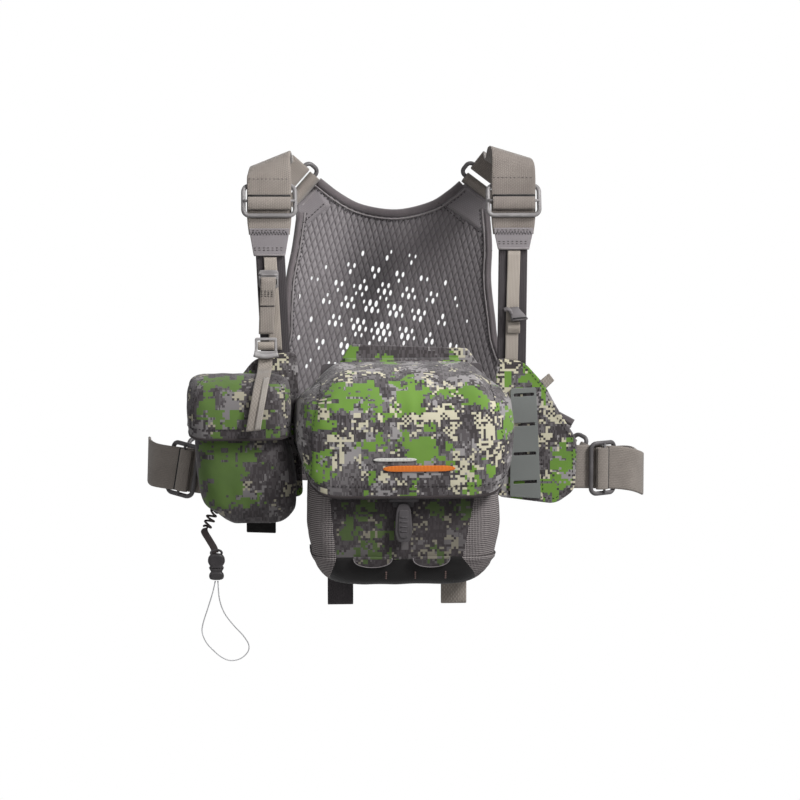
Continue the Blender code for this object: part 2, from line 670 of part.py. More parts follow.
def side_strap(side):
    """From the wing, round the waist to the ring on the back panel's flank."""
    out = OUT[side]
    along = unit((0.45 * out, 0.0, 0.89))
    pull = np.array((SIDE_PULL[0] * out, SIDE_PULL[1], 0.0))
    toward = unit(pull - along * along.dot(pull))
    normal = np.cross(along, toward) * out
    near = np.array((SIDE_RING[0] * out, SIDE_RING[1], SIDE_RING[2]))
    far = near + toward * RING_SPACING
    ring(f"side_ring_{side}", (near + far) / 2, along, toward)
    keeper(f"side_keeper_{side}", near - toward * 5.5, near, -toward, normal, along)
    plan = [(136, -101.2), (152, -101.2), (166, -99.4), (188, -93.4), (203, -89), (213, -80),
            (217.5, -62), (218, -36), (217, -4), (214, 24), (205, 48)]
    heights = {
        "left": (-271, -270.5, -269, -266.5, -265, -264, -263, -264, -268, -275, -282),
        "right": (-266, -266, -266.5, -268, -270.5, -274.5, -278, -280, -281, -282, -284),
    }[side]
    centres = [(x * out, y, z) for (x, y), z in zip(plan, heights)]
    sides = []
    for _, y in plan:
        share = np.interp(y, (-30, 60), (0, 1))
        lying = upright(side, np.interp(y, (-90, -50), (1, 0)))
        sides.append(unit(lying * (1 - share) + along * share) * 19.0)
    centres.append(far + normal * 4.2 + toward * 9)
    sides.append(along * 19.0)
    joined = smooth(np.hstack([np.array(centres), np.array(sides)]), 3)
    loop = wrap(far, toward, normal, BAR_RADIUS + 0.6 + DOUBLE_WEBBING / 2)
    loop.append(loop[-1] + toward * 12 - normal * 0.4)
    loop.append(loop[-1] + toward * 14 - normal * 0.6)
    path = np.vstack([joined[:, :3], loop])
    across = np.vstack([joined[:, 3:], [along * 19.0] * len(loop)])
    ribbon(f"side_strap_{side}", path, across, DOUBLE_WEBBING, "webbing")


def side_slider(side):
    """The side strap's slider, with its top bar towards the back."""
    out = OUT[side]
    across = Vector(upright(side)) * -out
    normal = Vector((SIDE_RUN[0] * out, SIDE_RUN[1], 0)).cross(across).normalized()
    run = across.cross(normal)
    frame = Matrix((across, normal, run)).transposed().to_4x4()
    origin = SIDE_SLIDER_AT[side]
    frame = Matrix.Translation(origin) @ frame
    tri_glide(f"side_slider_{side}", frame, origin)
    glide_roll(f"side_roll_{side}", frame, origin)


clear_scene()
HARNESS = new_collection("binocular_chest_harness")
CUTTERS = new_collection("cutters")
back_panel()
bindings()
for each in ("left", "right"):
    shoulder(each)
    slider(each)
    chest_run(each)
    side_strap(each)
    side_slider(each)
lift_straps()
ladder_lock()
tail()
keeper_hook()
wings()
main_pouch()
main_lid()
accessory_pouch()
tether()
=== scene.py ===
"""Looks for the binocular chest harness: cloth, webbing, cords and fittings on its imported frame.

Places are in millimetres on the frame's own axes: +X is the viewer's right, +Z is up and the
pouches face -Y. MM turns them into metres.
"""

import math

import bmesh
import bpy
import mathutils.noise
import numpy as np
from mathutils import Matrix, Vector


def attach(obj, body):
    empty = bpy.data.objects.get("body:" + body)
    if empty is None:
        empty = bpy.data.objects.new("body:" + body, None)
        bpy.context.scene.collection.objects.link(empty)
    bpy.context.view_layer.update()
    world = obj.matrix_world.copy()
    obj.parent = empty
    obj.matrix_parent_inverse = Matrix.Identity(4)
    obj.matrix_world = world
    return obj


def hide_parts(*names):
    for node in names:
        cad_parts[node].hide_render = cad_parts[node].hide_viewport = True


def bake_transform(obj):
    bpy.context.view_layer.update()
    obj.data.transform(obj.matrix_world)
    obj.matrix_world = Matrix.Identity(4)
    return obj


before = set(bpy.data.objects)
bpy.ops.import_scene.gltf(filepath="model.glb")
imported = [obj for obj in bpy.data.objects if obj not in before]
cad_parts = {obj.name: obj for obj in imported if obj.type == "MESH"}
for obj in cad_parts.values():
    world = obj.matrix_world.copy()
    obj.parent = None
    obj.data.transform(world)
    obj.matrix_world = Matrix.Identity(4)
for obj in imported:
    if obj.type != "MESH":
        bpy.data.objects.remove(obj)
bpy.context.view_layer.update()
MM = 0.001

OUT = {"left": -1.0, "right": 1.0}
WEB_Y = -102.0  # plane of the shoulder webbing on the chest
STRAP_X = {"left": -112.0, "right": 97.4}
SLIDER_Z = -35.0
WEBBING = 38.0  # width of the shoulder and side webbing
HALF_WEB = WEBBING / 2
BAR_RADIUS = 2.0
RING_SPACING = 14.0
LATCH = (-2.5, -190.0, -280.5)  # middle of the rod that closes the main lid
FRONT = (0, -1, 0)  # the way out of cloth that faces the pouches' front
UP = (0, 0, 1)


# ---------------------------------------------------------------- camera and stage


def make_camera():
    azimuth, elevation, distance = math.radians(-3.5), math.radians(6.0), 2.2
    target = Vector((0.0, -0.100, -0.207))
    back = Vector((math.sin(azimuth) * math.cos(elevation),
                   -math.cos(azimuth) * math.cos(elevation), math.sin(elevation)))
    data = bpy.data.cameras.new("camera")
    data.sensor_width = 36.0
    data.lens = 114.58
    camera = bpy.data.objects.new("camera", data)
    camera.location = target + back * distance
    camera.rotation_euler = back.to_track_quat("Z", "Y").to_euler()
    bpy.context.scene.collection.objects.link(camera)
    bpy.context.scene.camera = camera


def hang_lamp(data, place, aim):
    lamp = bpy.data.objects.new(data.name, data)
    lamp.location = place
    lamp.rotation_euler = (Vector(place) - Vector(aim)).to_track_quat("Z", "Y").to_euler()
    bpy.context.scene.collection.objects.link(lamp)


def soft_light(name, place, size, power):
    data = bpy.data.lights.new(name, "AREA")
    data.shape = "DISK"
    data.size = size
    data.energy = power
    hang_lamp(data, place, (0.0, -0.05, -0.22))


def spot_light(name, place, aim, spread, power):
    """A soft-edged spot that lifts one part of the object."""
    data = bpy.data.lights.new(name, "SPOT")
    data.spot_size = math.radians(spread)
    data.spot_blend = 1.0
    data.shadow_soft_size = 0.12
    data.energy = power
    hang_lamp(data, place, aim)


def floor_material():
    """A pale floor that looks evenly lit and throws little light back."""
    graph = Graph("pale_floor", (0.45, 0.45, 0.45), 0.9)
    glow = graph.node("Emission")
    glow.inputs["Color"].default_value = (1.0, 1.0, 1.0, 1.0)
    glow.inputs["Strength"].default_value = 1.0
    seen = graph.node("LightPath").outputs["Is Camera Ray"]
    chosen = graph.node("MixShader", seen, graph.shader.outputs[0], glow.outputs[0])
    graph.tree.links.new(chosen.outputs[0], graph.tree.nodes["Material Output"].inputs["Surface"])
    return graph.material


def make_stage():
    mesh = bmesh.new()
    bmesh.ops.create_circle(mesh, cap_ends=True, radius=9.0, segments=64)
    data = bpy.data.meshes.new("floor")
    mesh.to_mesh(data)
    mesh.free()
    floor = bpy.data.objects.new("floor", data)
    floor.location = (0.0, 0.0, -0.75)
    data.materials.append(floor_material())
    bpy.context.scene.collection.objects.link(floor)
    world = bpy.data.worlds.new("studio")
    world.use_nodes = True
    tree = world.node_tree
    fill = tree.nodes["Background"]
    fill.inputs["Color"].default_value = (0.97, 0.98, 1.0, 1.0)
    fill.inputs["Strength"].default_value = 0.36
    seen = tree.nodes.new("ShaderNodeBackground")
    seen.inputs["Color"].default_value = (1.0, 1.0, 1.0, 1.0)
    seen.inputs["Strength"].default_value = 1.0
    path = tree.nodes.new("ShaderNodeLightPath")
    chosen = tree.nodes.new("ShaderNodeMixShader")
    tree.links.new(path.outputs["Is Camera Ray"], chosen.inputs[0])
    tree.links.new(fill.outputs[0], chosen.inputs[1])
    tree.links.new(seen.outputs[0], chosen.inputs[2])
    tree.links.new(chosen.outputs[0], tree.nodes["World Output"].inputs["Surface"])
    bpy.context.scene.world = world
    bpy.context.scene.view_settings.view_transform = "Standard"
    soft_light("key", (1.5, -1.35, 1.45), 0.8, 68.0)
    soft_light("fill", (-1.3, -1.9, 0.9), 1.3, 5.0)
    soft_light("rim", (0.4, 1.8, 1.3), 1.2, 16.0)
    spot_light("left_spot", (0.75, -1.35, 0.35), (-0.10, 0.05, -0.09), 12.5, 105.0)


# ---------------------------------------------------------------- materials


def srgb(red, green, blue):
    """A display colour, 0 to 255, as the linear colour that a shader takes."""
    found = []
    for value in (red, green, blue):
        share = value / 255.0
        found.append(share / 12.92 if share <= 0.04045 else ((share + 0.055) / 1.055) ** 2.4)
    return tuple(found)


class Graph:
    """A material, with short ways to add nodes to it."""

    def __init__(self, name, colour, roughness):
        self.material = bpy.data.materials.new(name)
        self.material.use_nodes = True
        self.tree = self.material.node_tree
        self.shader = self.tree.nodes["Principled BSDF"]
        self.shader.inputs["Base Color"].default_value = (*colour, 1.0)
        self.shader.inputs["Roughness"].default_value = roughness
        self.shader.inputs["Specular IOR Level"].default_value = 0.3

    def feed(self, socket, value):
        if isinstance(value, bpy.types.NodeSocket):
            self.tree.links.new(value, socket)
        elif isinstance(value, tuple) and len(value) == 3 and socket.type == "RGBA":
            socket.default_value = (*value, 1.0)
        else:
            socket.default_value = value

    def node(self, kind, *values, **settings):
        made = self.tree.nodes.new("ShaderNode" + kind)
        for key, value in settings.items():
            setattr(made, key, value)
        for socket, value in zip(made.inputs, values):
            if value is not None:
                self.feed(socket, value)
        return made

    def math(self, operation, *values):
        return self.node("Math", *values, operation=operation).outputs[0]

    def times(self, *values):
        return self.math("MULTIPLY", *values)

    def times_plus(self, value, factor, more):
        return self.math("MULTIPLY_ADD", value, factor, more)

    def above(self, value, limit):
        return self.math("GREATER_THAN", value, limit)

    def vector(self, operation, *values):
        return self.node("VectorMath", *values, operation=operation).outputs[0]

    def plus(self, at, more):
        return self.vector("ADD", at, more)

    def scaled(self, at, x, y):
        return self.vector("MULTIPLY", at, (x, y, 0.0))

    def blocks(self, at, x, y):
        """Whole numbers that stay the same over blocks of x by y for each step of at."""
        return self.vector("FLOOR", self.scaled(at, x, y))

    def place(self, kind="Object"):
        return self.node("TexCoord").outputs[kind]

    def noise(self, at, scale, detail=2.0, roughness=0.5):
        made = self.node("TexNoise")
        self.feed(made.inputs["Vector"], at)
        made.inputs["Scale"].default_value = scale
        made.inputs["Detail"].default_value = detail
        made.inputs["Roughness"].default_value = roughness
        return made.outputs[0]

    def white(self, at):
        return self.node("TexWhiteNoise", at).outputs["Value"]

    def mix(self, share, first, second):
        made = self.node("Mix", data_type="RGBA")
        self.feed(made.inputs[0], share)
        self.feed(made.inputs[6], first)
        self.feed(made.inputs[7], second)
        return made.outputs[2]

    def between(self, value, low, high):
        made = self.node("MapRange", interpolation_type="SMOOTHSTEP")
        for key, entry in (("Value", value), ("From Min", low), ("From Max", high)):
            self.feed(made.inputs[key], entry)
        return made.outputs[0]

    def bump(self, height, distance, strength, under=None):
        made = self.node("Bump")
        made.inputs["Strength"].default_value = strength
        made.inputs["Distance"].default_value = distance
        self.feed(made.inputs["Height"], height)
        if under is not None:
            self.feed(made.inputs["Normal"], under)
        return made.outputs[0]

    def finish(self, colour=None, normal=None, roughness=None):
        for key, value in (("Base Color", colour), ("Normal", normal), ("Roughness", roughness)):
            if value is not None:
                self.feed(self.shader.inputs[key], value)
        return self.material


def sheen(graph, amount):
    graph.shader.inputs["Sheen Weight"].default_value = amount
    graph.shader.inputs["Sheen Roughness"].default_value = 0.5


def waves(graph, at, pitch_across, pitch_along):
    """Plain weave: threads along and across that pass over each other in turn."""
    split = graph.node("SeparateXYZ", at)
    across = graph.times(split.outputs[0], math.tau / (pitch_across * MM))
    along = graph.times(split.outputs[1], math.tau / (pitch_along * MM))
    half_across = graph.times(across, 0.5)
    crossed = graph.above(graph.math("SINE", half_across), 0.0)
    turned = graph.math("ADD", along, graph.times(crossed, math.pi))
    ribs = graph.math("ABSOLUTE", graph.math("SINE", half_across))
    picks = graph.times_plus(graph.math("SINE", turned), 0.5, 0.5)
    return graph.times(graph.math("POWER", ribs, 0.6), picks), ribs


def webbing_material(name, light, dark, across=1.5, along=1.3):
    graph = Graph(name, light, 0.8)
    at = graph.place("UV")
    height, ribs = waves(graph, at, across, along)
    patchy = graph.noise(graph.place(), 55.0, 3.0, 0.6)
    fuzz = graph.noise(graph.place(), 1600.0, 1.0)
    share = graph.times_plus(height, 0.42, graph.times(patchy, 0.5))
    colour = graph.mix(share, dark, light)
    colour = graph.mix(graph.times(fuzz, 0.25), colour, light)
    rounded = graph.times_plus(ribs, 0.5, height)
    normal = graph.bump(rounded, 0.16 * MM, 0.8)
    sheen(graph, 0.15)
    return graph.finish(colour, normal, graph.times_plus(patchy, 0.15, 0.7))


def cloth_material(name, light, dark, pitch=0.9, depth=0.12):
    """Fine plain-weave cloth."""
    graph = Graph(name, light, 0.85)
    split = graph.node("SeparateXYZ", graph.place())
    side = graph.math("ADD", split.outputs[0], split.outputs[1])
    at = graph.node("CombineXYZ", side, split.outputs[2]).outputs[0]
    height, _ = waves(graph, at, pitch, pitch)
    patchy = graph.noise(graph.place(), 30.0, 4.0, 0.6)
    share = graph.times_plus(height, 0.4, graph.times(patchy, 0.6))
    colour = graph.mix(share, dark, light)
    normal = graph.bump(height, depth * MM, 0.7)
    sheen(graph, 0.2)
    return graph.finish(colour, normal, graph.times_plus(patchy, 0.2, 0.72))


def velvet_material(name, light, dark):
    """Brushed binding cloth, with a short nap."""
    graph = Graph(name, light, 0.95)
    at = graph.place()
    nap = graph.noise(at, 1400.0, 2.0)
    patchy = graph.noise(at, 90.0, 4.0, 0.7)
    share = graph.times_plus(nap, 0.5, graph.times(patchy, 0.5))
    normal = graph.bump(nap, 0.25 * MM, 0.6)
    sheen(graph, 0.5)
    return graph.finish(graph.mix(share, dark, light), normal)


def mesh_material(name, light, dark, pitch):
    """Air mesh: rows of small round openings, staggered."""
    graph = Graph(name, light, 0.8)
    split = graph.node("SeparateXYZ", graph.place("UV"))
    across = graph.times(split.outputs[0], math.tau / (pitch * MM))
    along = graph.times(split.outputs[1], math.tau / (pitch * 1.3 * MM))
    first = graph.math("SINE", graph.math("ADD", across, along))
    second = graph.math("SINE", graph.math("SUBTRACT", across, along))
    height = graph.times_plus(graph.times(first, second), 0.5, 0.5)
    patchy = graph.noise(graph.place(), 40.0, 3.0)
    holes = graph.between(height, 0.25, 0.7)
    colour = graph.mix(holes, dark, light)
    colour = graph.mix(graph.times(patchy, 0.35), colour, dark)
    return graph.finish(colour, graph.bump(height, 0.35 * MM, 0.9))


def plastic_material(name, colour, roughness):
    graph = Graph(name, colour, roughness)
    at = graph.place()
    fine = graph.noise(at, 900.0, 2.0)
    patchy = graph.noise(at, 60.0, 3.0, 0.6)
    lighter = tuple(min(1.0, value * 1.35 + 0.01) for value in colour)
    tint = graph.mix(graph.between(patchy, 0.35, 0.75), colour, lighter)
    rough = graph.times_plus(patchy, 0.25, roughness - 0.12)
    graph.shader.inputs["Specular IOR Level"].default_value = 0.5
    return graph.finish(tint, graph.bump(fine, 0.05 * MM, 0.35), rough)


GREEN = srgb(118, 162, 50)
DEEP_GREEN = srgb(84, 126, 32)
CREAM = srgb(204, 198, 172)
GREY = srgb(108, 104, 105)
PALE_GREY = srgb(150, 146, 146)
DARK_GREY = srgb(80, 75, 77)
CHARCOAL = srgb(48, 42, 44)
CELL = 2.0  # one printed square of the camouflage
THIRD = 0.3334  # a little over a third, so that blocks of three squares never split one
WEAVE = 0.8


def camo_material(name, patches, seed, lit_share, loose):
    """Generic digital camouflage. patches holds, for each kind, the centre and half sizes of
    every listed patch. loose keeps the other patches away, and a lit share below 1 darkens the
    whole print towards charcoal: painted shade, for cloth that lies in shadow."""
    graph = Graph(name, GREY, 0.85)
    at = graph.place("UV")
    shift = (seed, seed * 2.0, 0.0)
    cells = graph.plus(graph.blocks(at, 1000 / CELL, 1000 / CELL), shift)
    single = graph.white(cells)
    double = graph.white(graph.plus(graph.blocks(cells, 0.5, 0.5), (17.0, 5.0, 1.0)))
    ragged = graph.times_plus(single, 0.55, graph.times(double, 0.45))
    ragged = graph.math("SUBTRACT", ragged, 0.5)
    centre = graph.plus(graph.vector("SUBTRACT", cells, shift), (0.5, 0.5, 0.0))
    centre = graph.scaled(centre, CELL, CELL)
    jump = graph.node("TexWhiteNoise", graph.blocks(cells, THIRD, 0.25)).outputs["Color"]
    drift = graph.node("TexNoise")
    graph.feed(drift.inputs["Vector"], cells)
    drift.inputs["Scale"].default_value = 0.16
    for random_way, reach_mm in ((jump, 13.0), (drift.outputs["Color"], 15.0)):
        moved = graph.vector("SUBTRACT", random_way, (0.5, 0.5, 0.5))
        centre = graph.plus(centre, graph.scaled(moved, reach_mm, reach_mm))

    def reach(kind):
        """How far outside the nearest patch of a kind a square lies, from 1 at its rim."""
        nearest = None
        for u, v, half_u, half_v in patches.get(kind, ()):
            away = graph.vector("SUBTRACT", centre, (float(u), float(v), 0.0))
            away = graph.scaled(away, 1.0 / half_u, 1.0 / half_v)
            sides = graph.node("SeparateXYZ", graph.vector("ABSOLUTE", away))
            away = graph.math("MAXIMUM", sides.outputs[0], sides.outputs[1])
            nearest = away if nearest is None else graph.math("MINIMUM", nearest, away)
        return nearest

    def layer(colour, below, kind, scale, offset, low, rough):
        """Lays one kind of patch over the rest: those listed, and some from noise."""
        wild = graph.noise(graph.plus(cells, (offset, seed, 0.0)), scale, 1.0)
        wild = graph.times(graph.math("SUBTRACT", wild, low + loose), 6.0)
        placed = reach(kind)
        if placed is not None:
            inside = graph.times(graph.math("SUBTRACT", 1.0, placed), 1.6)
            wild = graph.math("MAXIMUM", inside, wild)
        value = graph.times_plus(ragged, rough, wild)
        return graph.mix(graph.above(value, 0.0), below, colour)

    streaks = graph.blocks(at, 1000 / (CELL * 0.6), 1000 / (CELL * 1.6))
    hatch = graph.above(graph.white(streaks), 0.52)
    slow = graph.noise(graph.plus(cells, (71.0, seed, 0.0)), 0.07, 2.0)
    colour = graph.mix(graph.above(slow, 0.53), GREY, PALE_GREY)
    hatched = graph.mix(hatch, colour, DARK_GREY)
    colour = graph.mix(graph.above(graph.times_plus(ragged, 0.25, slow), 0.53), hatched, colour)
    blotched = graph.mix(hatch, CHARCOAL, DARK_GREY)
    colour = layer(blotched, colour, "dark", 0.085, 11.0, 0.53, 1.5)
    parts = graph.node("SeparateXYZ", cells)
    parity = graph.math("ABSOLUTE", graph.math("ADD", parts.outputs[0], parts.outputs[1]))
    parity = graph.math("MODULO", parity, 2.0)
    other = graph.white(graph.plus(cells, (3.0, 9.0, 4.0)))
    checked = graph.noise(graph.plus(cells, (55.0, seed, 0.0)), 0.13, 1.0)
    checked = graph.above(graph.times_plus(other, 0.4, checked), 0.74)
    dark_square = graph.times(graph.above(parity, 0.5), checked)
    dashes = graph.white(graph.blocks(cells, THIRD, 1.0))
    bars = graph.white(graph.blocks(cells, 1.0, 0.5))
    for marks, limit in ((other, 0.94), (dashes, 0.88), (bars, 0.93)):
        dark_square = graph.math("MAXIMUM", dark_square, graph.above(marks, limit))
    cream = graph.mix(dark_square, CREAM, CHARCOAL)
    colour = layer(cream, colour, "cream", 0.095, 37.0, 0.61, 1.5)
    green = graph.mix(graph.noise(at, 22.0, 1.0), DEEP_GREEN, GREEN)
    specks = graph.math("MAXIMUM", graph.above(dashes, 0.95), graph.above(single, 0.985))
    green = graph.mix(specks, green, hatched)
    colour = layer(green, colour, "green", 0.06, 91.0, 0.62, 0.75)

    height, _ = waves(graph, at, WEAVE, WEAVE)
    worn = graph.noise(graph.place(), 45.0, 4.0, 0.6)
    toned = graph.mix(graph.times(height, 0.22), colour, CHARCOAL)
    toned = graph.mix(graph.times(worn, 0.14), toned, PALE_GREY)
    # Painted shade: darkens the whole print towards charcoal for cloth that lies in shadow.
    if lit_share < 1.0:
        toned = graph.mix(1.0 - lit_share, toned, CHARCOAL)
    normal = graph.bump(height, 0.12 * MM, 0.6)
    normal = graph.bump(graph.noise(graph.place(), 130.0, 3.0), 0.5 * MM, 0.35, normal)
    sheen(graph, 0.12)
    return graph.finish(toned, normal, graph.times_plus(worn, 0.2, 0.7))


def quilt_material(name, light, dark):
    """Knitted face of the back panel, with painted shade in the channels between its diamonds and
    towards its right side.
    """
    graph = Graph(name, light, 0.85)
    at = graph.place()
    fine = graph.noise(at, 1500.0, 1.0)
    patchy = graph.noise(at, 14.0, 3.0)
    height = graph.node("Attribute", attribute_name="pillow").outputs["Fac"]
    # Painted shade: the low channels between the diamonds are darkened.
    channel_shade = graph.math("POWER", graph.math("SUBTRACT", 1.0, height), 1.6)
    colour = graph.mix(graph.times(channel_shade, 0.42), light, dark)
    colour = graph.mix(graph.times(patchy, 0.35), colour, dark)
    colour = graph.mix(graph.times(fine, 0.3), colour, dark)
    # Painted shade: the panel darkens towards its right side, where less light falls.
    side = graph.node("SeparateXYZ", at).outputs[0]
    right_side_shade = graph.between(side, -0.06, 0.06)
    colour = graph.mix(graph.times(right_side_shade, 0.45), colour, dark)
    sheen(graph, 0.3)
    return graph.finish(colour, graph.bump(fine, 0.1 * MM, 0.6))


# ---------------------------------------------------------------- shapes


def unit(v):
    return np.array(v, float) / np.linalg.norm(v)


def smooth(points, steps):
    """A Catmull-Rom curve through rows of numbers."""
    rows = np.array(points, float)
    padded = np.vstack([2 * rows[0] - rows[1], rows, 2 * rows[-1] - rows[-2]])
    found = []
    for a, b, c, d in zip(padded, padded[1:], padded[2:], padded[3:]):
        for t in np.arange(steps) / steps:
            found.append(0.5 * (2 * b + (c - a) * t + (2 * a - 5 * b + 4 * c - d) * t**2
                                + (3 * b - a - 3 * c + d) * t**3))
    found.append(rows[-1])
    return np.array(found)


def reach_along(line):
    steps = np.linalg.norm(np.diff(np.array(line, float), axis=0), axis=1)
    return np.concatenate([[0.0], np.cumsum(steps)])


def evenly(points, count):
    """Points at equal steps along a line."""
    line = np.array(points, float)
    reach = reach_along(line[:, :3])
    wanted = np.linspace(0, reach[-1], count)
    return np.stack([np.interp(wanted, reach, line[:, k]) for k in range(line.shape[1])], axis=1)


def tangents(line):
    along = np.gradient(np.array(line, float), axis=0)
    return along / np.linalg.norm(along, axis=1)[:, None]


def add_piece(name, data, finish, body, replaces=()):
    data.materials.append(MATERIALS[finish])
    made = bpy.data.objects.new(name, data)
    bpy.context.scene.collection.objects.link(made)
    if body:
        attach(made, body)
    if replaces:
        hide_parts(*replaces)
    return made


def face_outward(data, change=None):
    """Turns a mesh's faces outwards, after a change to it if one is given."""
    shape = bmesh.new()
    shape.from_mesh(data)
    if change:
        change(shape)
    bmesh.ops.recalc_face_normals(shape, faces=shape.faces)
    shape.to_mesh(data)
    shape.free()
    data.shade_smooth()


def weld(shape):
    bmesh.ops.remove_doubles(shape, verts=shape.verts, dist=0.00001)


def grid_mesh(name, grid, uv, around=False, caps=False):
    """Quads through a grid of points in mm. uv has one more column than a closed grid."""
    rows, columns = grid.shape[:2]
    faces, corners = [], []
    for r in range(rows - 1):
        for c in range(columns if around else columns - 1):
            d = (c + 1) % columns
            faces.append((r * columns + c, r * columns + d, (r + 1) * columns + d,
                          (r + 1) * columns + c))
            corners += [uv[r][c], uv[r][c + 1], uv[r + 1][c + 1], uv[r + 1][c]]
    if caps:
        for r in (0, rows - 1):
            ring = [r * columns + c for c in range(columns)]
            faces.append(tuple(ring if r else reversed(ring)))
            middle = uv[r][0]
            corners += [(middle[0] + c * 0.0002, middle[1]) for c in range(columns)]
    data = bpy.data.meshes.new(name)
    data.from_pydata([tuple(p) for p in (grid.reshape(-1, 3) * MM)], [], faces)
    layer = data.uv_layers.new(name="flat")
    layer.data.foreach_set("uv", np.array(corners, float).ravel())
    face_outward(data)
    return data


def strap_mesh(name, centres, sides, thickness, across=10):
    """Webbing with round edges. sides holds half its width, as a vector, at each point."""
    line, half = np.array(centres, float), np.array(sides, float)
    width = np.linalg.norm(half, axis=1)
    lateral = half / width[:, None]
    upward = np.cross(tangents(line), lateral)
    upward /= np.linalg.norm(upward, axis=1)[:, None]
    t = thickness / 2
    flat = np.linspace(-1, 1, across + 1)
    lift = t + flat * 0
    turn = np.radians([60, 20, -20, -60])
    share = np.concatenate([flat, np.ones(4), flat[::-1], -np.ones(4)])
    beyond = np.concatenate([flat * 0, t * np.cos(turn), flat * 0, -t * np.cos(turn)])
    rise = np.concatenate([lift, t * np.sin(turn), -lift[::-1], -t * np.sin(turn)])
    reach = share[None, :] * (width - t)[:, None] + beyond[None, :]
    grid = (line[:, None, :] + lateral[:, None, :] * reach[:, :, None]
            + upward[:, None, :] * rise[None, :, None])
    looped = np.vstack([np.stack([reach[0], rise], axis=1), [[reach[0][0], rise[0]]]])
    u = reach_along(looped) * MM
    v = reach_along(line) * MM
    uv = [[(a, b) for a in u] for b in v]
    return grid_mesh(name, grid, uv, around=True, caps=True)


def strap(name, centres, sides, thickness, finish, body="harness", slot="webbing", replaces=(),
          **shape):
    return add_piece(name, strap_mesh(name, centres, sides, thickness, **shape), finish, body,
                     replaces)


def tube_mesh(name, points, radius, closed=False, sides=12, flat=1.0):
    """A round bar through points. flat squeezes it across its own normal."""
    line = np.array(points, float)
    if closed:
        along = np.roll(line, -1, axis=0) - np.roll(line, 1, axis=0)
        along /= np.linalg.norm(along, axis=1)[:, None]
    else:
        along = tangents(line)
    start = np.cross(along[0], (0.0, 1.0, 0.0))
    if np.linalg.norm(start) < 0.2:
        start = np.cross(along[0], (0.0, 0.0, 1.0))
    normal = unit(start)
    rows = []
    turns = np.arange(sides) * math.tau / sides
    for place, way in zip(line, along):
        normal = unit(normal - way * normal.dot(way))
        other = np.cross(way, normal)
        rows.append([place + normal * radius * math.cos(a) + other * radius * flat * math.sin(a)
                     for a in turns])
    grid = np.array(rows)
    v = reach_along(line)
    if closed:
        grid = np.concatenate([grid, grid[:1]])
        v = np.append(v, v[-1] + np.linalg.norm(line[0] - line[-1]))
    around = np.linspace(0, math.tau * radius, sides + 1)
    uv = [[(a * MM, b * MM) for a in around] for b in v]
    data = grid_mesh(name, grid, uv, around=True, caps=not closed)
    if closed:
        face_outward(data, weld)
    return data


def tube(name, points, radius, finish, body="harness", slot="plastic", replaces=(), **shape):
    return add_piece(name, tube_mesh(name, points, radius, **shape), finish, body, replaces)


def join_meshes(name, parts):
    """One mesh of several, which keeps their UVs."""
    shape = bmesh.new()
    for data in parts:
        shape.from_mesh(data)
        bpy.data.meshes.remove(data)
    made = bpy.data.meshes.new(name)
    shape.to_mesh(made)
    shape.free()
    made.shade_smooth()
    return made


STITCH_SIDES = 6


def stitch_mesh(name, lines, length=2.3, gap=1.3, radius=0.34):
    """Stitches in rows. A row is its points and, at each one, the way out of the cloth."""
    shape = bmesh.new()
    for points, outward in lines:
        line = np.array(points, float)
        out = np.broadcast_to(np.array(outward, float), line.shape)
        count = max(2, int(round(reach_along(line)[-1] / (length + gap))))
        even = evenly(np.hstack([line, out]), count * 2 + 1)
        for k in range(count):
            a, b = even[2 * k, :3], even[2 * k + 1, :3]
            up = unit(even[2 * k, 3:])
            way = b - a
            if np.linalg.norm(way) < 1e-6:
                continue
            way = unit(way)
            half = length / 2
            centre = (a + b) / 2 + up * radius * 0.45
            side = unit(np.cross(up, way))
            reach, sink = way * half, up * radius * 0.7
            ends = [centre - reach - sink, centre + reach - sink]
            belt = []
            for share in (-0.45, 0.45):
                ring = []
                for turn in range(STITCH_SIDES):
                    angle = math.tau * turn / STITCH_SIDES
                    ring.append(shape.verts.new(tuple((centre + way * half * share + side * radius
                                * math.cos(angle) + up * radius * math.sin(angle)) * MM)))
                belt.append(ring)
            tips = [shape.verts.new(tuple(e * MM)) for e in ends]
            for turn in range(STITCH_SIDES):
                after = (turn + 1) % STITCH_SIDES
                shape.faces.new((belt[0][turn], belt[0][after], belt[1][after], belt[1][turn]))
                shape.faces.new((tips[0], belt[0][after], belt[0][turn]))
                shape.faces.new((tips[1], belt[1][turn], belt[1][after]))
    bmesh.ops.recalc_face_normals(shape, faces=shape.faces)
    data = bpy.data.meshes.new(name)
    shape.to_mesh(data)
    shape.free()
    data.shade_smooth()
    return data


def stitches(name, lines, finish, body="harness", slot="webbing", **shape):
    return add_piece(name, stitch_mesh(name, lines, **shape), finish, body)


def grid_piece(name, grid, uv, finish, body="harness", replaces=(), around=False):
    return add_piece(name, grid_mesh(name, grid, uv, around), finish, body, replaces)


RING_POINTS = 24  # round a moulding
RING_TURNS = np.arange(RING_POINTS) * math.tau / RING_POINTS


def squircle(power):
    """Points round a circle pressed towards a square, as pairs from -1 to 1."""
    return [(math.copysign(abs(math.cos(a)) ** power, math.cos(a)),
             math.copysign(abs(math.sin(a)) ** power, math.sin(a))) for a in RING_TURNS]


def moulding_mesh(name, rows):
    """A closed moulding through rings of RING_POINTS points."""
    uv = [[(c * MM, r * MM) for c in range(RING_POINTS + 1)] for r in range(len(rows))]
    return grid_mesh(name, np.array(rows), uv, around=True, caps=True)


def front_uv(rows):
    """UVs in metres of a grid that hangs facing the front: across, and down."""
    return [[(x * MM, -z * MM) for x, _, z in row] for row in rows]


def across_strap(centre, half, way, count=5, zig=0.0):
    """A row of stitches across webbing, which may zigzag by zig."""
    found = []
    for i, share in enumerate(np.linspace(-1, 1, count)):
        found.append(np.array(centre) + np.array(half) * share
                     + np.array(way) * zig * (1 if i % 2 else -1))
    return found


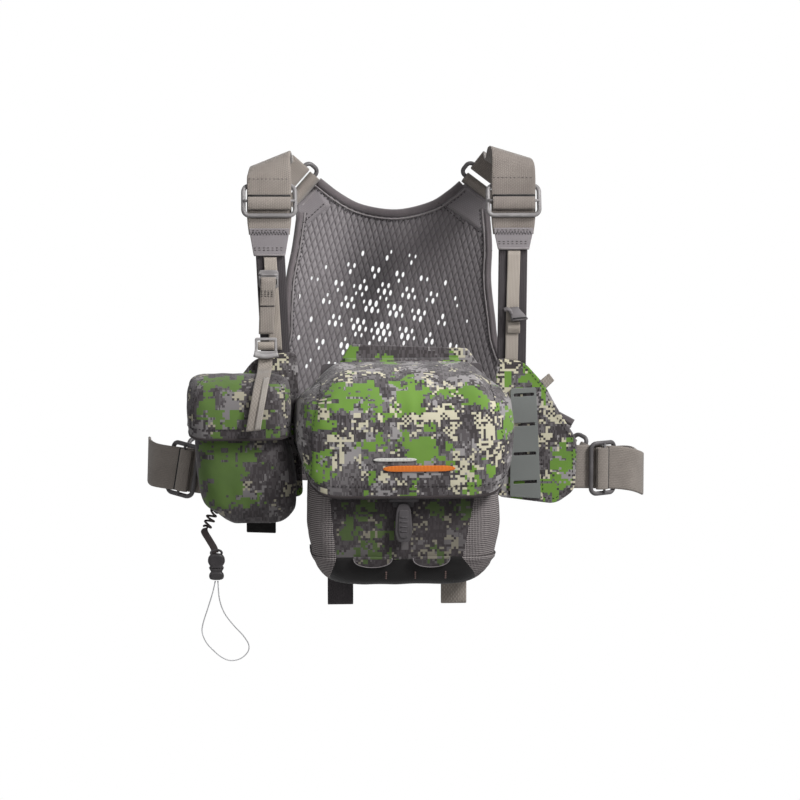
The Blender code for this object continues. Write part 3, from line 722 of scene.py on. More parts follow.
def curve_mesh(name, outlines, thickness, bevel):
    """A flat piece in the XZ plane with round edges: its outline, then its holes."""
    data = bpy.data.curves.new(name, "CURVE")
    data.dimensions = "2D"
    data.fill_mode = "BOTH"
    data.extrude = (thickness / 2 - bevel) * MM
    data.bevel_depth = bevel * MM
    data.bevel_resolution = 3
    data.offset = -bevel * MM
    for outline in outlines:
        line = data.splines.new("POLY")
        line.points.add(len(outline) - 1)
        for point, (x, z) in zip(line.points, outline):
            point.co = (x * MM, z * MM, 0, 1)
        line.use_cyclic_u = True
    holder = bpy.data.objects.new(name + "_outline", data)
    bpy.context.scene.collection.objects.link(holder)
    graph = bpy.context.evaluated_depsgraph_get()
    bpy.context.view_layer.update()
    made = bpy.data.meshes.new_from_object(holder.evaluated_get(graph))
    bpy.data.objects.remove(holder, do_unlink=True)
    bpy.data.curves.remove(data)
    return made


def plate_mesh(name, outlines, y, thickness, bevel=0.4):
    data = curve_mesh(name, outlines, thickness, bevel)
    shape = bmesh.new()
    shape.from_mesh(data)
    weld(shape)
    bmesh.ops.transform(shape, matrix=Matrix.Translation((0, y * MM, 0))
                        @ Matrix.Rotation(math.pi / 2, 4, "X"), verts=shape.verts)
    bmesh.ops.recalc_face_normals(shape, faces=shape.faces)
    for old in list(shape.loops.layers.uv):
        shape.loops.layers.uv.remove(old)
    layer = shape.loops.layers.uv.new("flat")
    for face in shape.faces:
        for loop in face.loops:
            loop[layer].uv = (loop.vert.co.x, -loop.vert.co.z)
    shape.to_mesh(data)
    shape.free()
    for face in data.polygons:
        face.use_smooth = abs(face.normal.y) < 0.95
    return data


def plate(name, outlines, y, thickness, finish, body="harness", replaces=(),
          bevel=0.4):
    return add_piece(name, plate_mesh(name, outlines, y, thickness, bevel), finish, body,
                     replaces)


def round_corners(points, radius, steps=5):
    """An outline with its corners rounded."""
    found = []
    count = len(points)
    for i in range(count):
        before, here, after = (np.array(points[(i + k) % count], float) for k in (-1, 0, 1))
        back, ahead = unit(before - here), unit(after - here)
        shorter = min(np.linalg.norm(before - here), np.linalg.norm(after - here))
        reach = min(radius, 0.45 * shorter)
        first, last = here + back * reach, here + ahead * reach
        for t in np.linspace(0, 1, steps + 1):
            found.append(tuple(first * (1 - t)**2 + here * 2 * t * (1 - t) + last * t**2))
    return found


def rounded_box(width, height, corner, steps=6):
    """Points round a rectangle with round corners, about its centre."""
    found = []
    for quarter, (sx, sy) in enumerate(((1, 1), (-1, 1), (-1, -1), (1, -1))):
        for i in range(steps + 1):
            angle = math.radians(90 * (quarter + i / steps))
            found.append((sx * (width / 2 - corner) + corner * math.cos(angle),
                          sy * (height / 2 - corner) + corner * math.sin(angle)))
    return found


def apply_modifiers(obj):
    graph = bpy.context.evaluated_depsgraph_get()
    bpy.context.view_layer.update()
    old = obj.data
    obj.data = bpy.data.meshes.new_from_object(obj.evaluated_get(graph))
    obj.modifiers.clear()
    bpy.data.meshes.remove(old)


PRESSURE = 3.0  # of the air under swelling cloth
FRAMES = 20  # for which it swells


def inflate(obj, grid, held, cap):
    """Lets cloth swell under a little pressure and gives its points. held marks, from 0 to 1,
    how firmly a point stays, and no point moves further than cap."""
    before = np.empty(len(obj.data.vertices) * 3)
    obj.data.vertices.foreach_get("co", before)
    group = obj.vertex_groups.new(name="held")
    for index, weight in enumerate(held.ravel()):
        group.add([index], float(weight), "REPLACE")
    cloth = obj.modifiers.new("cloth", "CLOTH")
    cloth.settings.quality = 5
    cloth.settings.mass = 0.15
    cloth.settings.tension_stiffness = 25
    cloth.settings.compression_stiffness = 8
    cloth.settings.shear_stiffness = 8
    cloth.settings.bending_stiffness = 0.5
    cloth.settings.use_pressure = True
    cloth.settings.uniform_pressure_force = PRESSURE
    cloth.settings.vertex_group_mass = "held"
    cloth.settings.effector_weights.gravity = 0.0
    cloth.collision_settings.use_collision = False
    cloth.point_cache.frame_start = 1
    cloth.point_cache.frame_end = FRAMES
    scene = bpy.context.scene
    for number in range(1, FRAMES + 1):
        scene.frame_set(number)
    graph = bpy.context.evaluated_depsgraph_get()
    swollen = obj.evaluated_get(graph).data
    after = np.empty(len(swollen.vertices) * 3)
    swollen.vertices.foreach_get("co", after)
    moved = (after - before).reshape(-1, 3)
    size = np.linalg.norm(moved, axis=1)
    moved *= np.minimum(1.0, cap * MM / np.maximum(size, 1e-9))[:, None]
    obj.modifiers.clear()
    obj.vertex_groups.clear()
    obj.data.vertices.foreach_set("co", before + moved.ravel())
    obj.data.update()
    scene.frame_set(1)
    return (before + moved.ravel()).reshape(grid.shape) / MM


def thicken(obj, thickness, offset=-1.0, levels=0):
    solid = obj.modifiers.new("thickness", "SOLIDIFY")
    solid.thickness = thickness * MM
    solid.offset = offset
    solid.use_even_offset = False
    if levels:
        finer = obj.modifiers.new("finer", "SUBSURF")
        finer.levels = finer.render_levels = levels
    apply_modifiers(obj)


def wrinkle(at, size, seed=0.0):
    """Slow noise from -1 to 1 at a place in mm."""
    return mathutils.noise.noise(Vector((at[0], at[1] + seed, at[2])) / size)


# ---------------------------------------------------------------- back panel


BACK_Y = 104.0  # the panel's middle
HALF_TORSO = 180.0


def panel_y(x, z):
    """The back panel's depth: it curves round the torso and leans in over the shoulders."""
    lean = 12.0 * max(0.0, (z + 180.0) / 155.0) ** 2
    return BACK_Y - 22.0 * (x / HALF_TORSO) ** 2 - lean


def on_panel(points, proud=0.0):
    return np.array([(x, panel_y(x, z) - proud, z) for x, z in points])


def inset(points, distance):
    """The line moved sideways in its plane, to the right of its direction."""
    line = np.array(points, float)
    along = tangents(line)
    return line + np.stack([along[:, 1], -along[:, 0]], axis=1) * distance


NECK = smooth([(-61.8, -19.2), (-43, -33.5), (-22, -44), (9, -48.3), (39, -41.5), (56, -31),
               (66.6, -22.0)], 6)
ARM = {
    "left": smooth([(-84.5, -50), (-89, -82), (-94.8, -112), (-97, -142), (-99, -172),
                    (-113, -203), (-145, -231), (-176, -246)], 6),
    "right": smooth([(95.5, -47.5), (98.5, -82), (98, -115), (102, -150), (106, -176),
                     (120, -205), (148, -230), (176, -246)], 6),
}
NECK_BAND = 8.4
ARM_BAND = 7.0


def panel_outline():
    """The back panel's edge, drawn a little inside its bindings."""
    neck = inset(NECK, 6.0)
    left = inset(ARM["left"], -3.0)[:-6]
    right = inset(ARM["right"], 3.0)[:-6]
    hem = smooth([(153, -283), (110, -293.5), (0, -298.5), (-110, -293.5), (-153, -283)], 6)
    return np.vstack([[(-79, -46), (-68, -33)], neck[3:-3], [(74, -33), (88, -45)], right,
                      [(163, -256)], hem, [(-163, -256)], left[::-1]])


def inside(point, outline):
    x, z = point
    found = False
    for (x0, z0), (x1, z1) in zip(outline, np.roll(outline, -1, axis=0)):
        if (z0 > z) != (z1 > z) and x < (x1 - x0) * (z - z0) / (z1 - z0) + x0:
            found = not found
    return found


DIAMOND = np.array([(-3.9, -5.7), (1.8, -6.8)])  # the two sides of one quilted diamond
QUILT_CENTRE = np.array((0.0, -165.0))
CLUSTER_START = np.array((8.0, -143.5))
CLUSTER_STEPS = np.array([(22.2, -4.4), (-12.6, -19.4)])
CLUSTERS_CLOSE_UP = 1.3  # above the start, rows of clusters lie this much closer
FOCUS = np.array((-6.0, -162.0))  # where the clusters of holes are largest
FOCUS_REACH = 86.0  # no holes lie further from it


def hole_share(centre):
    """How open a diamond is, from 0 to 1, by its place in the nearest cluster."""
    offset = centre - CLUSTER_START
    squeeze = np.array((1.0, CLUSTERS_CLOSE_UP if offset[1] > 0 else 1.0))
    steps = np.linalg.solve(CLUSTER_STEPS.T, offset * squeeze)
    nearest = CLUSTER_START + np.round(steps) @ CLUSTER_STEPS / squeeze
    away = np.linalg.norm(nearest - FOCUS)
    if away > FOCUS_REACH:
        return 0.0
    radius = 10.4 * math.sqrt(1.0 - away / 90.0)
    gap = np.linalg.norm(centre - nearest)
    if gap > radius:
        return 0.0
    return min(1.0, 0.62 + 0.8 * (1.0 - gap / radius)) * (1.0 - 0.3 * away / FOCUS_REACH)


def back_panel():
    """Quilted diamonds with a raised middle on both faces, some with an oval hole through."""
    outline = panel_outline()
    a, b = DIAMOND
    verts, faces, heights = [], [], []
    known = {}

    def vertex(x, z, side, height):
        key = (round(x, 2), round(z, 2), side)
        if key in known:
            return known[key]
        verts.append((x, panel_y(x, z) - side * (1.3 + 1.25 * height), z))
        heights.append(height)
        known[key] = len(verts) - 1
        return known[key]

    steps = 4
    for i in range(-70, 71):
        for j in range(-70, 71):
            corner = QUILT_CENTRE + i * a + j * b
            centre = corner + (a + b) / 2
            if not inside(centre, outline):
                continue
            rim = []
            for start, way in ((corner, a), (corner + a, b),
                               (corner + a + b, -a), (corner + b, -b)):
                rim += [start + way * k / steps for k in range(steps)]
            rim = np.array(rim)
            open_share = hole_share(centre)
            count = len(rim)
            tall = unit(a + b)
            wide = np.array((-tall[1], tall[0]))
            reach = rim - centre
            angle = np.arctan2(reach @ wide, reach @ tall)
            if open_share:
                oval = (centre + np.outer(np.cos(angle), tall) * 3.5 * open_share
                        + np.outer(np.sin(angle), wide) * 1.8 * open_share)
                rings = [(rim, 0.0), (rim * 0.62 + oval * 0.38, 0.55),
                         (rim * 0.3 + oval * 0.7, 0.6), (oval, 0.25)]
            else:
                rings = [(rim, 0.0), (centre + reach * 0.82, 0.45), (centre + reach * 0.55, 0.85),
                         (centre + reach * 0.25, 1.0)]
            ends = {}
            for side in (1, -1):
                rows = [[vertex(x, z, side, height) for x, z in ring] for ring, height in rings]
                for outer, inner in zip(rows, rows[1:]):
                    for k in range(count):
                        after = (k + 1) % count
                        face = (outer[k], outer[after], inner[after], inner[k])
                        faces.append(face if side > 0 else face[::-1])
                ends[side] = rows[-1]
                if not open_share:
                    faces.append(tuple(rows[-1]) if side > 0 else tuple(rows[-1][::-1]))
            if open_share:
                for k in range(count):
                    after = (k + 1) % count
                    faces.append((ends[1][k], ends[1][after], ends[-1][after], ends[-1][k]))
    data = bpy.data.meshes.new("back_panel_quilt")
    data.from_pydata([tuple(np.array(p) * MM) for p in verts], [], faces)
    face_outward(data)
    pillow = data.attributes.new("pillow", "FLOAT", "POINT")
    pillow.data.foreach_set("value", heights)
    quilt = add_piece("back_panel_quilt", data, "quilt", "harness",
                      ("back_panel",))


def binding_band(name, edge, width, finish, thickness, replaces=(), piping=True):
    line = inset(edge, width / 2)
    across = inset(edge, 1.0) - edge
    centres = on_panel(line)
    half = abs(width) / 2
    ends = on_panel(line + across * half)
    sides = [unit(e - c) * half for c, e in zip(centres, ends)]
    strap(name, centres, sides, thickness, finish, slot="binding", replaces=replaces)
    if piping:
        way = math.copysign(1.0, width)
        inner = on_panel(inset(edge, width + 0.6 * way), proud=3.0)
        tube(name + "_piping", inner, 0.75, "piping", slot="binding", sides=8)
        seam = on_panel(inset(edge, width + 2.6 * way), proud=3.0)
        stitches(name + "_stitches", [(seam, FRONT)], "dark_thread", length=2.4,
                 gap=1.6)


def bindings():
    binding_band("neck_roll", NECK, NECK_BAND, "velvet", 7.2, ("neck_binding",))
    for side, out in OUT.items():
        binding_band(f"arm_roll_{side}", ARM[side], ARM_BAND * out, "velvet", 7.0,
                     (f"arm_binding_{side}",))
    hem = [(-171, -254), (-164, -272), (-153.5, -291), (-110, -301.5), (0, -306), (110, -301.5),
           (153.5, -291), (164, -272), (171, -254)]
    hem_line = smooth(hem, 5)
    binding_band("hem_roll", hem_line, -6.5, "velvet", 5.6, piping=False)
    for name, edge, width in (("neck", NECK, 10.5), ("arm_left", ARM["left"], -8.5),
                              ("arm_right", ARM["right"], 8.5), ("hem", hem_line, -8.5)):
        middle = inset(edge, width)
        way = (middle - edge) / abs(width)
        sides = [(x * 5.5, 0.0, z * 5.5) for x, z in way]
        strap(f"{name}_flange", on_panel(middle), sides, 2.2, "flange",
              slot="grey_fabric")
    for side, foot, top in (("left", (-79, -44), (-66, -28.5)), ("right", (89, -42), (73, -28.5))):
        corner = on_panel(np.linspace(foot, top, 6))
        way = unit(corner[-1] - corner[0])
        strap(f"corner_binding_{side}", corner, [np.cross(way, (0, 1, 0)) * 2.2] * 6, 5.6,
              "piping", slot="binding")
    corners = {"left": ((-85, -44.5), (-65.5, -26.5), (-53, -44.5), (-85, -70)),
               "right": ((95.5, -42), (72.5, -24.5), (50, -41), (93, -74))}
    for side, quad in corners.items():
        foot, top, inner, low = (np.array(p, float) for p in quad)
        rows = []
        for share in np.linspace(0, 1, 7):
            near, far = foot + (low - foot) * share, top + (inner - top) * share
            rows.append(on_panel(near + (far - near) * np.linspace(0, 1, 9)[:, None]))
        grid = np.array(rows)
        uv = [[(x * MM, z * MM) for x, _, z in row] for row in rows]
        patch = grid_piece(f"corner_patch_{side}", grid, uv, "corner")
        thicken(patch, 5.2, 0.0)
    seams = []
    for ends in (((-59, -43), (-80, -62)), ((47, -42), (73, -63))):
        seams.append((on_panel(np.linspace(*ends, 12), proud=3.2), FRONT))
    stitches("corner_seams", seams, "dark_thread", length=2.4, gap=1.2, radius=0.45)


# ---------------------------------------------------------------- shoulder straps


RING_AT = {  # where each rear ring hangs on the panel, and the direction of its bars
    "left": ((-73.5, -35.5), (-0.66, 0.0, -0.75)),
    "right": ((82.0, -34.5), (0.80, 0.0, -0.60)),
}
# The right shoulder strap and its slider's roll use a darker copy of the webbing: painted shade.
SHOULDER_CLOTH = {"left": "webbing", "right": "webbing_shaded"}
SHOULDER_FORM = {  # its lean, peak and sag, the slack of its loops, and its stitches' height
    "left": (0.40, 0.0, 6.5, 1.7, -16.5),
    "right": (0.30, 5.5, 8.0, 0.0, -15.5),
}
TAPER_SHORTER = {"left": 0.0, "right": 5.0}  # how much higher a taper's lower edge lies
CHEST_ENDS = {  # the foot and sideways run of the wide strap, then of the narrow one
    "left": (-170.0, 5.0, -162.5, 4.5),
    "right": (-178.0, -1.0, -174.5, -2.0),
}


def ring(name, centre, along, across, replaces):
    outline = rounded_box(WEBBING + 9, RING_SPACING, 5)
    points = [np.array(centre) + np.array(along) * x + np.array(across) * y for x, y in outline]
    tube(name, points, BAR_RADIUS, "plastic", replaces=(replaces,), closed=True, sides=14)


def wrap(bar, toward, normal, radius, steps=12):
    """An arc round a bar, from its normal's side past the side away from toward."""
    found = []
    for i in range(steps + 1):
        angle = math.pi * i / steps
        found.append(np.array(bar) + np.array(normal) * radius * math.cos(angle)
                     - np.array(toward) * radius * math.sin(angle))
    return found


def keeper(name, anchor, bar, toward, normal, along, replaces, slack=0.0):
    """A short webbing loop from a panel's edge round the bar of a ring."""
    radius = BAR_RADIUS + 0.5 + 0.8 + slack
    lift = np.array(normal) * 1.4
    path = [np.array(anchor) + lift, *wrap(bar, toward, normal, radius), np.array(anchor) - lift]
    side = np.array(along) * (WEBBING / 2 - 1)
    strap(name, path, [side] * len(path), 1.5, "webbing", replaces=(replaces,))
    middle = (np.array(anchor) * 0.7 + np.array(bar) * 0.3) + lift * 1.5
    rows = [(across_strap(middle + np.array(toward) * k, side * 0.9, toward), normal)
            for k in (0.0, 2.2)]
    stitches(name + "_stitches", rows, "thread", length=2.0, gap=1.0)


def ringed_strap(name, body, rod, radius, tails, cloth, node):
    """Webbing through the rows of body, and then round the far bar of a ring.

    rod is the bar's place, the ways towards it, out of the strap and along it. A tail's two
    numbers say how far the free end then runs on and out."""
    far, toward, normal, along = rod
    joined = smooth(np.array(body), 6)
    loop = wrap(far, toward, normal, radius)
    for reach, lift in tails:
        loop.append(loop[-1] + toward * reach + normal * lift)
    path = np.vstack([joined[:, :3], loop])
    across = np.vstack([joined[:, 3:], [along * HALF_WEB] * len(loop)])
    strap(name, path, across, 2.4, cloth, replaces=(node,))


def shoulder(side):
    out = OUT[side]
    lean, peak, sag, slack, level = SHOULDER_FORM[side]
    (x, z), along = RING_AT[side]
    along = unit(along)
    anchor = np.array((x, panel_y(x, z), z)) + np.array((along[2] * -out, 0, along[0] * out)) * 2.5
    rise = np.array((-along[2] * out, 0, along[0] * out))
    toward = unit(0.93 * rise + np.array((0, -0.37, 0)))
    normal = unit(np.cross(along, toward)) * -out
    near = anchor + toward * 6
    far = near + toward * RING_SPACING
    ring(f"rear_ring_{side}_bar", (near + far) / 2, along, toward, f"rear_ring_{side}")
    keeper(f"rear_keeper_{side}_webbing", anchor, near, -toward, normal, along,
           f"rear_keeper_{side}", slack)
    front = STRAP_X[side]
    body = []
    for dx, dy, height, tilt, half in (
            (0, 0, -64.0, 0.0, 17.5), (0, 0, -50.0, 0.0, HALF_WEB), (0, 0, -30.0, 0.0, HALF_WEB),
            (0, 0, -15.0, 0.06, HALF_WEB), (0, 3, peak - 6.5, 0.8 * lean, HALF_WEB),
            (1, 10, peak - 1, lean, HALF_WEB), (2, 24, peak - 1.5, 1.02 * lean, HALF_WEB)):
        body.append((front - out * dx, WEB_Y + dy, height, *unit((out, 0, -tilt)) * half))
    start, ends = np.array(body[-1][:3]), far + normal * 4.3 + toward * 14
    level_side = np.array(body[-1][3:]) / HALF_WEB
    for share in (0.3, 0.55, 0.8):
        middle = start + (ends - start) * share + np.array((0, 0, -sag * math.sin(math.pi * share)))
        body.append((*middle, *unit(level_side * (1 - share) + along * share) * HALF_WEB))
    body.append((*ends, *along * HALF_WEB))
    ringed_strap(f"shoulder_strap_{side}", body, (far, toward, normal, along),
                 BAR_RADIUS + 0.6 + 1.3 + slack * 0.5, ((12, 0.6), (5, 0.2)),
                 SHOULDER_CLOTH[side], f"shoulder_webbing_{side}")
    rows = [(across_strap((front, WEB_Y - 1.25, level), (17.5, 0, 0), UP, 9), FRONT)]
    stitches(f"shoulder_stitches_{side}", rows, "thread", length=2.2, gap=1.4)


def tri_glide(name, place, body, replaces, finish="buckle"):
    """A three-bar slider: its top bar lies behind the strap, its other two in front."""
    width, height = WEBBING + 6, 25.0
    points = []
    for x, z in rounded_box(width, height, 5, steps=6):
        y = np.interp(z, (-height / 2, 0, height / 2), (-4.0, -4.2, 3.9))
        points.append(tuple(place @ Vector((x, y, z))))
    frame_bar = tube_mesh(name, points, 1.95, closed=True, sides=14)
    ends = [tuple(place @ Vector((x, -4.4, 0))) for x in np.linspace(-width / 2, width / 2, 6)]
    middle = tube_mesh(name + "_middle", ends, 1.2)
    add_piece(name, join_meshes(name, [frame_bar, middle]), finish, body,
              (replaces,))


def glide_roll(name, place, body, replaces, finish="webbing"):
    """The webbing's end, sewn round the slider's middle bar."""
    half = WEBBING / 2 - 0.7
    path, sides = [], []
    for a in np.linspace(-1.2, math.tau - 1.5, 26):
        path.append(tuple(place @ Vector((0, -4.6 - 2.2 * math.cos(a), 5.2 * math.sin(a) - 2.2))))
        sides.append(tuple(place.to_3x3() @ Vector((half, 0, 0))))
    strap(name, path, sides, 1.1, finish, body, replaces=(replaces,))
    # A thin dark tube along the roll's upper edge: painted shadow in the gap where the webbing
    # passes behind the roll.
    slit_shadow = [tuple(place @ Vector((x, -2.6, 4.3))) for x in np.linspace(-half, half, 5)]
    tube(name + "_slit", slit_shadow, 0.9, "gap", body, sides=8)


def shoulder_slider(side):
    body = f"shoulder_slider_{side}"
    place = Matrix.Translation((STRAP_X[side], WEB_Y, SLIDER_Z))
    tri_glide(f"slider_bars_{side}", place, body, f"shoulder_slider_{side}")
    glide_roll(f"slider_webbing_{side}", place, body, f"slider_roll_{side}", SHOULDER_CLOTH[side])


def chest_run(side):
    x = STRAP_X[side]
    rise = TAPER_SHORTER[side]
    foot, shift, low, lean = CHEST_ENDS[side]
    outline = [(x - 17.5, -58.5), (x + 17.5, -58.5), (x + 13.5, rise - 82), (x - 13.5, rise - 82)]
    plate(f"taper_{side}", [round_corners(outline, 1.2)], -104.9, 2.0, "patch",
          replaces=(f"taper_patch_{side}",), bevel=0.7)
    front = -105.95
    rows = [([(x - 14.6, front, -60.2), (x + 14.8, front, -60.2)], FRONT),
            (across_strap((x, front, rise - 77.0), (13.0, 0, 0), UP, 5), FRONT),
            (across_strap((x, front, rise - 75.0), (13.2, 0, 0), UP, 5), FRONT)]
    stitches(f"taper_stitches_{side}", rows, "thread")
    zigzag = across_strap((x, front, -62.6), (15.2, 0, 0), UP, 25, 1.5)
    tube(f"taper_zigzag_{side}", zigzag, 0.42, "dark_thread", slot="dark_webbing", sides=6)
    edge = [(x + dx, front + 0.1, rise - 81.2) for dx in np.linspace(-13.4, 13.4, 9)]
    tube(f"taper_piping_{side}", edge, 0.95, "piping", slot="binding", sides=10)
    path = np.linspace((x, WEB_Y, rise - 66), (x + shift, WEB_Y, foot), 24)
    strap(f"chest_webbing_{side}", path, [(12.5, 0, 0)] * 24, 1.6, "dark_webbing",
          slot="dark_webbing", replaces=(f"chest_strap_{side}",))
    path = np.linspace((x + 0.5, -104.6, rise - 83), (x + 0.5 + lean, -104.6, low), 24)
    for i in range(1, 24):
        path[i][1] -= 0.35 * math.sin(i * 0.7)
    strap(f"narrow_strap_{side}", path, [(5.5, 0, 0)] * 24, 1.3, "webbing_tan",
          replaces=(f"narrow_webbing_{side}",))


LOCK_X = -115.5
LOCK_TOP = -151.5


def lift_straps():
    x = -113.0
    outline = [(x - 8.5, -94), (x + 8.5, -94), (x + 8.5, -109.5), (x - 8.5, -109.5)]
    slot = [(x - 6.8, -102), (x + 6.8, -102), (x + 6.8, -106.5), (x - 6.8, -106.5)]
    plate("glide_plate", [round_corners(outline, 2.6), round_corners(slot, 0.8)], -106.9, 2.4,
          "buckle", replaces=("upper_glide",), bevel=0.7)
    rail = [(x + dx, -108.2, -98.0) for dx in np.linspace(-7.4, 7.4, 6)]
    tube("glide_rail", rail, 1.0, "buckle", slot="light_plastic")
    path = smooth([(x - 0.3, -108.9, -100.5), (x - 0.3, -110.1, -103), (x - 0.6, -110.2, -110),
                   (x - 1.2, -110.0, -122), (x - 1.8, -110.1, -136), (x - 2.2, -110.0, -148.5)], 5)
    strap("lift_webbing", path, [(6.5, 0, 0)] * len(path), 2.5, "webbing",
          replaces=("lift_strap",))
    front = -111.5
    rows = [(across_strap((x - 0.8, front, z), (5.6, 0, 0), UP, 3), FRONT)
            for z in (-111.5, -113.0, -114.5, -116.0)]
    stitches("lift_bartack", rows, "dark_thread", length=1.8, gap=0.7)
    cut_edge = [(x - 1.2 + dx, front + 0.1, -124.5) for dx in np.linspace(-6.2, 6.2, 5)]
    tube("lift_cut_edge", cut_edge, 0.55, "dark_thread", slot="dark_webbing", sides=6)


def ladder_lock():
    x, top, y = LOCK_X, LOCK_TOP, -111.0
    outline = [(x - 9.5, top), (x + 9.5, top), (x + 9.5, top - 10), (x + 10.5, top - 15),
               (x - 10.5, top - 15), (x - 9.5, top - 10)]
    window = [(x - 7.2, top - 2.4), (x + 7.2, top - 2.4), (x + 7.2, top - 11.5),
              (x - 7.2, top - 11.5)]
    body = plate_mesh("lock_body", [round_corners(outline, 2.0), round_corners(window, 0.8)], y,
                      2.2, 0.6)
    lip = []
    for share in np.linspace(-1, 1, 15):
        sag = 2.2 * (1 - share**2)
        lip.append((x + 10.2 * share, y - 2.6 + 1.0 * share**2, top - 14.2 - sag * 0.8))
    crescent = tube_mesh("lock_lip", lip, 2.1, flat=0.8)
    add_piece("ladder_lock_body", join_meshes("ladder_lock_body", [body, crescent]),
              "light_plastic", "ladder_lock", ("ladder_lock",))
    path, sides = [], []
    for a in np.linspace(0.3, math.tau - 0.3, 20):
        path.append((x, -110.4 + 2.3 * math.sin(a), top - 7 + 3.1 * math.cos(a)))
        sides.append((7.0, 0, 0))
    strap("ladder_webbing", path, sides, 1.3, "webbing_tan", "harness",
          replaces=("ladder_roll",))


def tail():
    """The loose webbing end below the ladder lock, which crosses the accessory lid's hinge."""
    path = smooth([(-115.5, -108.4, -164.5), (-115.9, -108.4, -170), (-116.6, -112.0, -176.5),
                   (-117.2, -121, -179.6), (-118, -140, -181.0), (-120, -160, -187.0),
                   (-122.5, -172.4, -199), (-125, -176.1, -212), (-127, -176.9, -224)], 6)
    path[:, 1] -= 0.6
    made = strap("tail_webbing", path, [(6.2, 0, 0.6)] * len(path), 1.9, "webbing_rib",
                 None, replaces=("tail_upper", "tail_lower"))
    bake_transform(made)
    fold = path[-22:] + np.array((3.4, -1.6, 0.8))
    strap("tail_fold", fold, [(2.6, 0, 0.3)] * len(fold), 1.6, "webbing_light",
          "accessory_lid")


def keeper_hook():
    x, top, y = 97.5, -127.0, -106.6
    levels = [(3.4, 0.6, 2.4, 0.4), (4.2, -1.6, 3.4, 1.0), (5.6, -4.6, 5.0, 2.4),
              (6.9, -8.0, 6.6, 4.0), (7.4, -9.8, 7.0, 4.6), (7.0, -10.6, 6.6, 4.7)]
    rows = []
    for half, z, front, shift in smooth(levels, 3):
        rows.append([(x + shift + px * half, y - front / 2 - py * front / 2,
                      top + z + 0.1 * px * half) for px, py in squircle(0.5)])
    shell = moulding_mesh("hook_shell", rows)
    arm = [(x - 8.4, y - 2.6, top - 1.8), (x - 6.0, y - 3.0, top - 1.2),
           (x - 3.4, y - 3.2, top - 2.4), (x - 1.6, y - 3.2, top - 5.6)]
    knob = tube_mesh("hook_knob", smooth(arm, 4), 1.9)
    add_piece("hook_body", join_meshes("hook_body", [shell, knob]), "hook",
              "keeper_hook", ("keeper_hook",))
    # A dark bar in the hook's mouth: painted shadow inside the opening.
    bar = [(x + 4.4 + dx, y - 6.7, top - 8.6 + 0.1 * dx) for dx in np.linspace(-5.8, 5.8, 5)]
    tube("hook_mouth_shadow", bar, 0.7, "gap", "keeper_hook", sides=8)
    bulge = smooth([(x, -106.0, -139.5), (x, -108.2, -142), (x, -108.4, -145),
                    (x, -106.2, -149)], 4)
    strap("hook_webbing", bulge, [(5.6, 0, 0)] * len(bulge), 1.2, "webbing_tan",
          "keeper_hook")


# ---------------------------------------------------------------- wings and side straps


def hem_stitches(outline, distance, y):
    """A stitched line just inside an outline in the XZ plane."""
    closed = np.vstack([outline, outline[:1]])
    middle = np.mean(outline, axis=0)
    found = []
    for x, z in evenly(closed, 90):
        away = np.array((x, z)) - middle
        shrunk = middle + away * (1 - distance / np.linalg.norm(away))
        found.append((shrunk[0], y, shrunk[1]))
    return found


def wings():
    left = [(-89, -164), (-116, -167), (-127, -172), (-144, -194), (-157, -238), (-157, -276),
            (-138, -288), (-84, -290)]
    right = [(83, -170), (107, -174), (125, -194), (137, -216), (153.5, -242), (152, -286),
             (135, -298), (83, -291)]
    for side, outline in (("left", left), ("right", right)):
        rounded = round_corners(outline, 7.0)
        plate(f"wing_cloth_{side}", [rounded], -104.6, 2.2, "camo_wing",
              replaces=(f"wing_{side}",), bevel=0.9)
        lines = [(hem_stitches(outline, 4.5, -105.75), FRONT)]
        stitches(f"wing_stitches_{side}", lines, "dark_thread", slot="camo")
    tab = [(119, -192.5), (129, -184.3), (133.8, -190.6), (125, -199)]
    plate("wing_tab_webbing", [round_corners(tab, 0.8)], -102.2, 2.0, "webbing_rib",
          replaces=("wing_tab",), bevel=0.6)
    panel = [(95, -197), (117.3, -196), (122, -293), (95, -291)]
    slots = []
    for z in (-201.5, -227.2, -252.7, -277.5):
        right_end = 115.0 + (z + 195) * -0.04
        slot = [(98, z + 0.1), (right_end, z + 0.9), (right_end, z - 1.9), (98, z - 2.7)]
        slots.append(round_corners(slot, 0.8))
    plate("slotted_panel", [round_corners(panel, 2.0), *slots], -107.0, 1.8, "slate",
          replaces=("molle_panel",), bevel=0.35)
    seam = [(119.5, -105.8, -197), (124.2, -105.8, -291)]
    stitches("panel_stitches", [(seam, FRONT)], "dark_thread", slot="camo")


SIDE_SLIDER_AT = {"left": (-187.5, -93.6, -266.5), "right": (177.0, -96.6, -267.8)}
SIDE_RUN = (0.962, 0.272)
SIDE_RING = (166.5, 80.0, -279.0)
SIDE_PULL = (0.84, -0.54)
SIDE_LEAN = {"left": 0.17, "right": 0.0}


def upright(side, share=1.0):
    """The direction across a side strap where it lies on the chest."""
    lean = SIDE_LEAN[side] * share
    return unit((-SIDE_RUN[0] * OUT[side] * lean, -SIDE_RUN[1] * lean, 1.0))


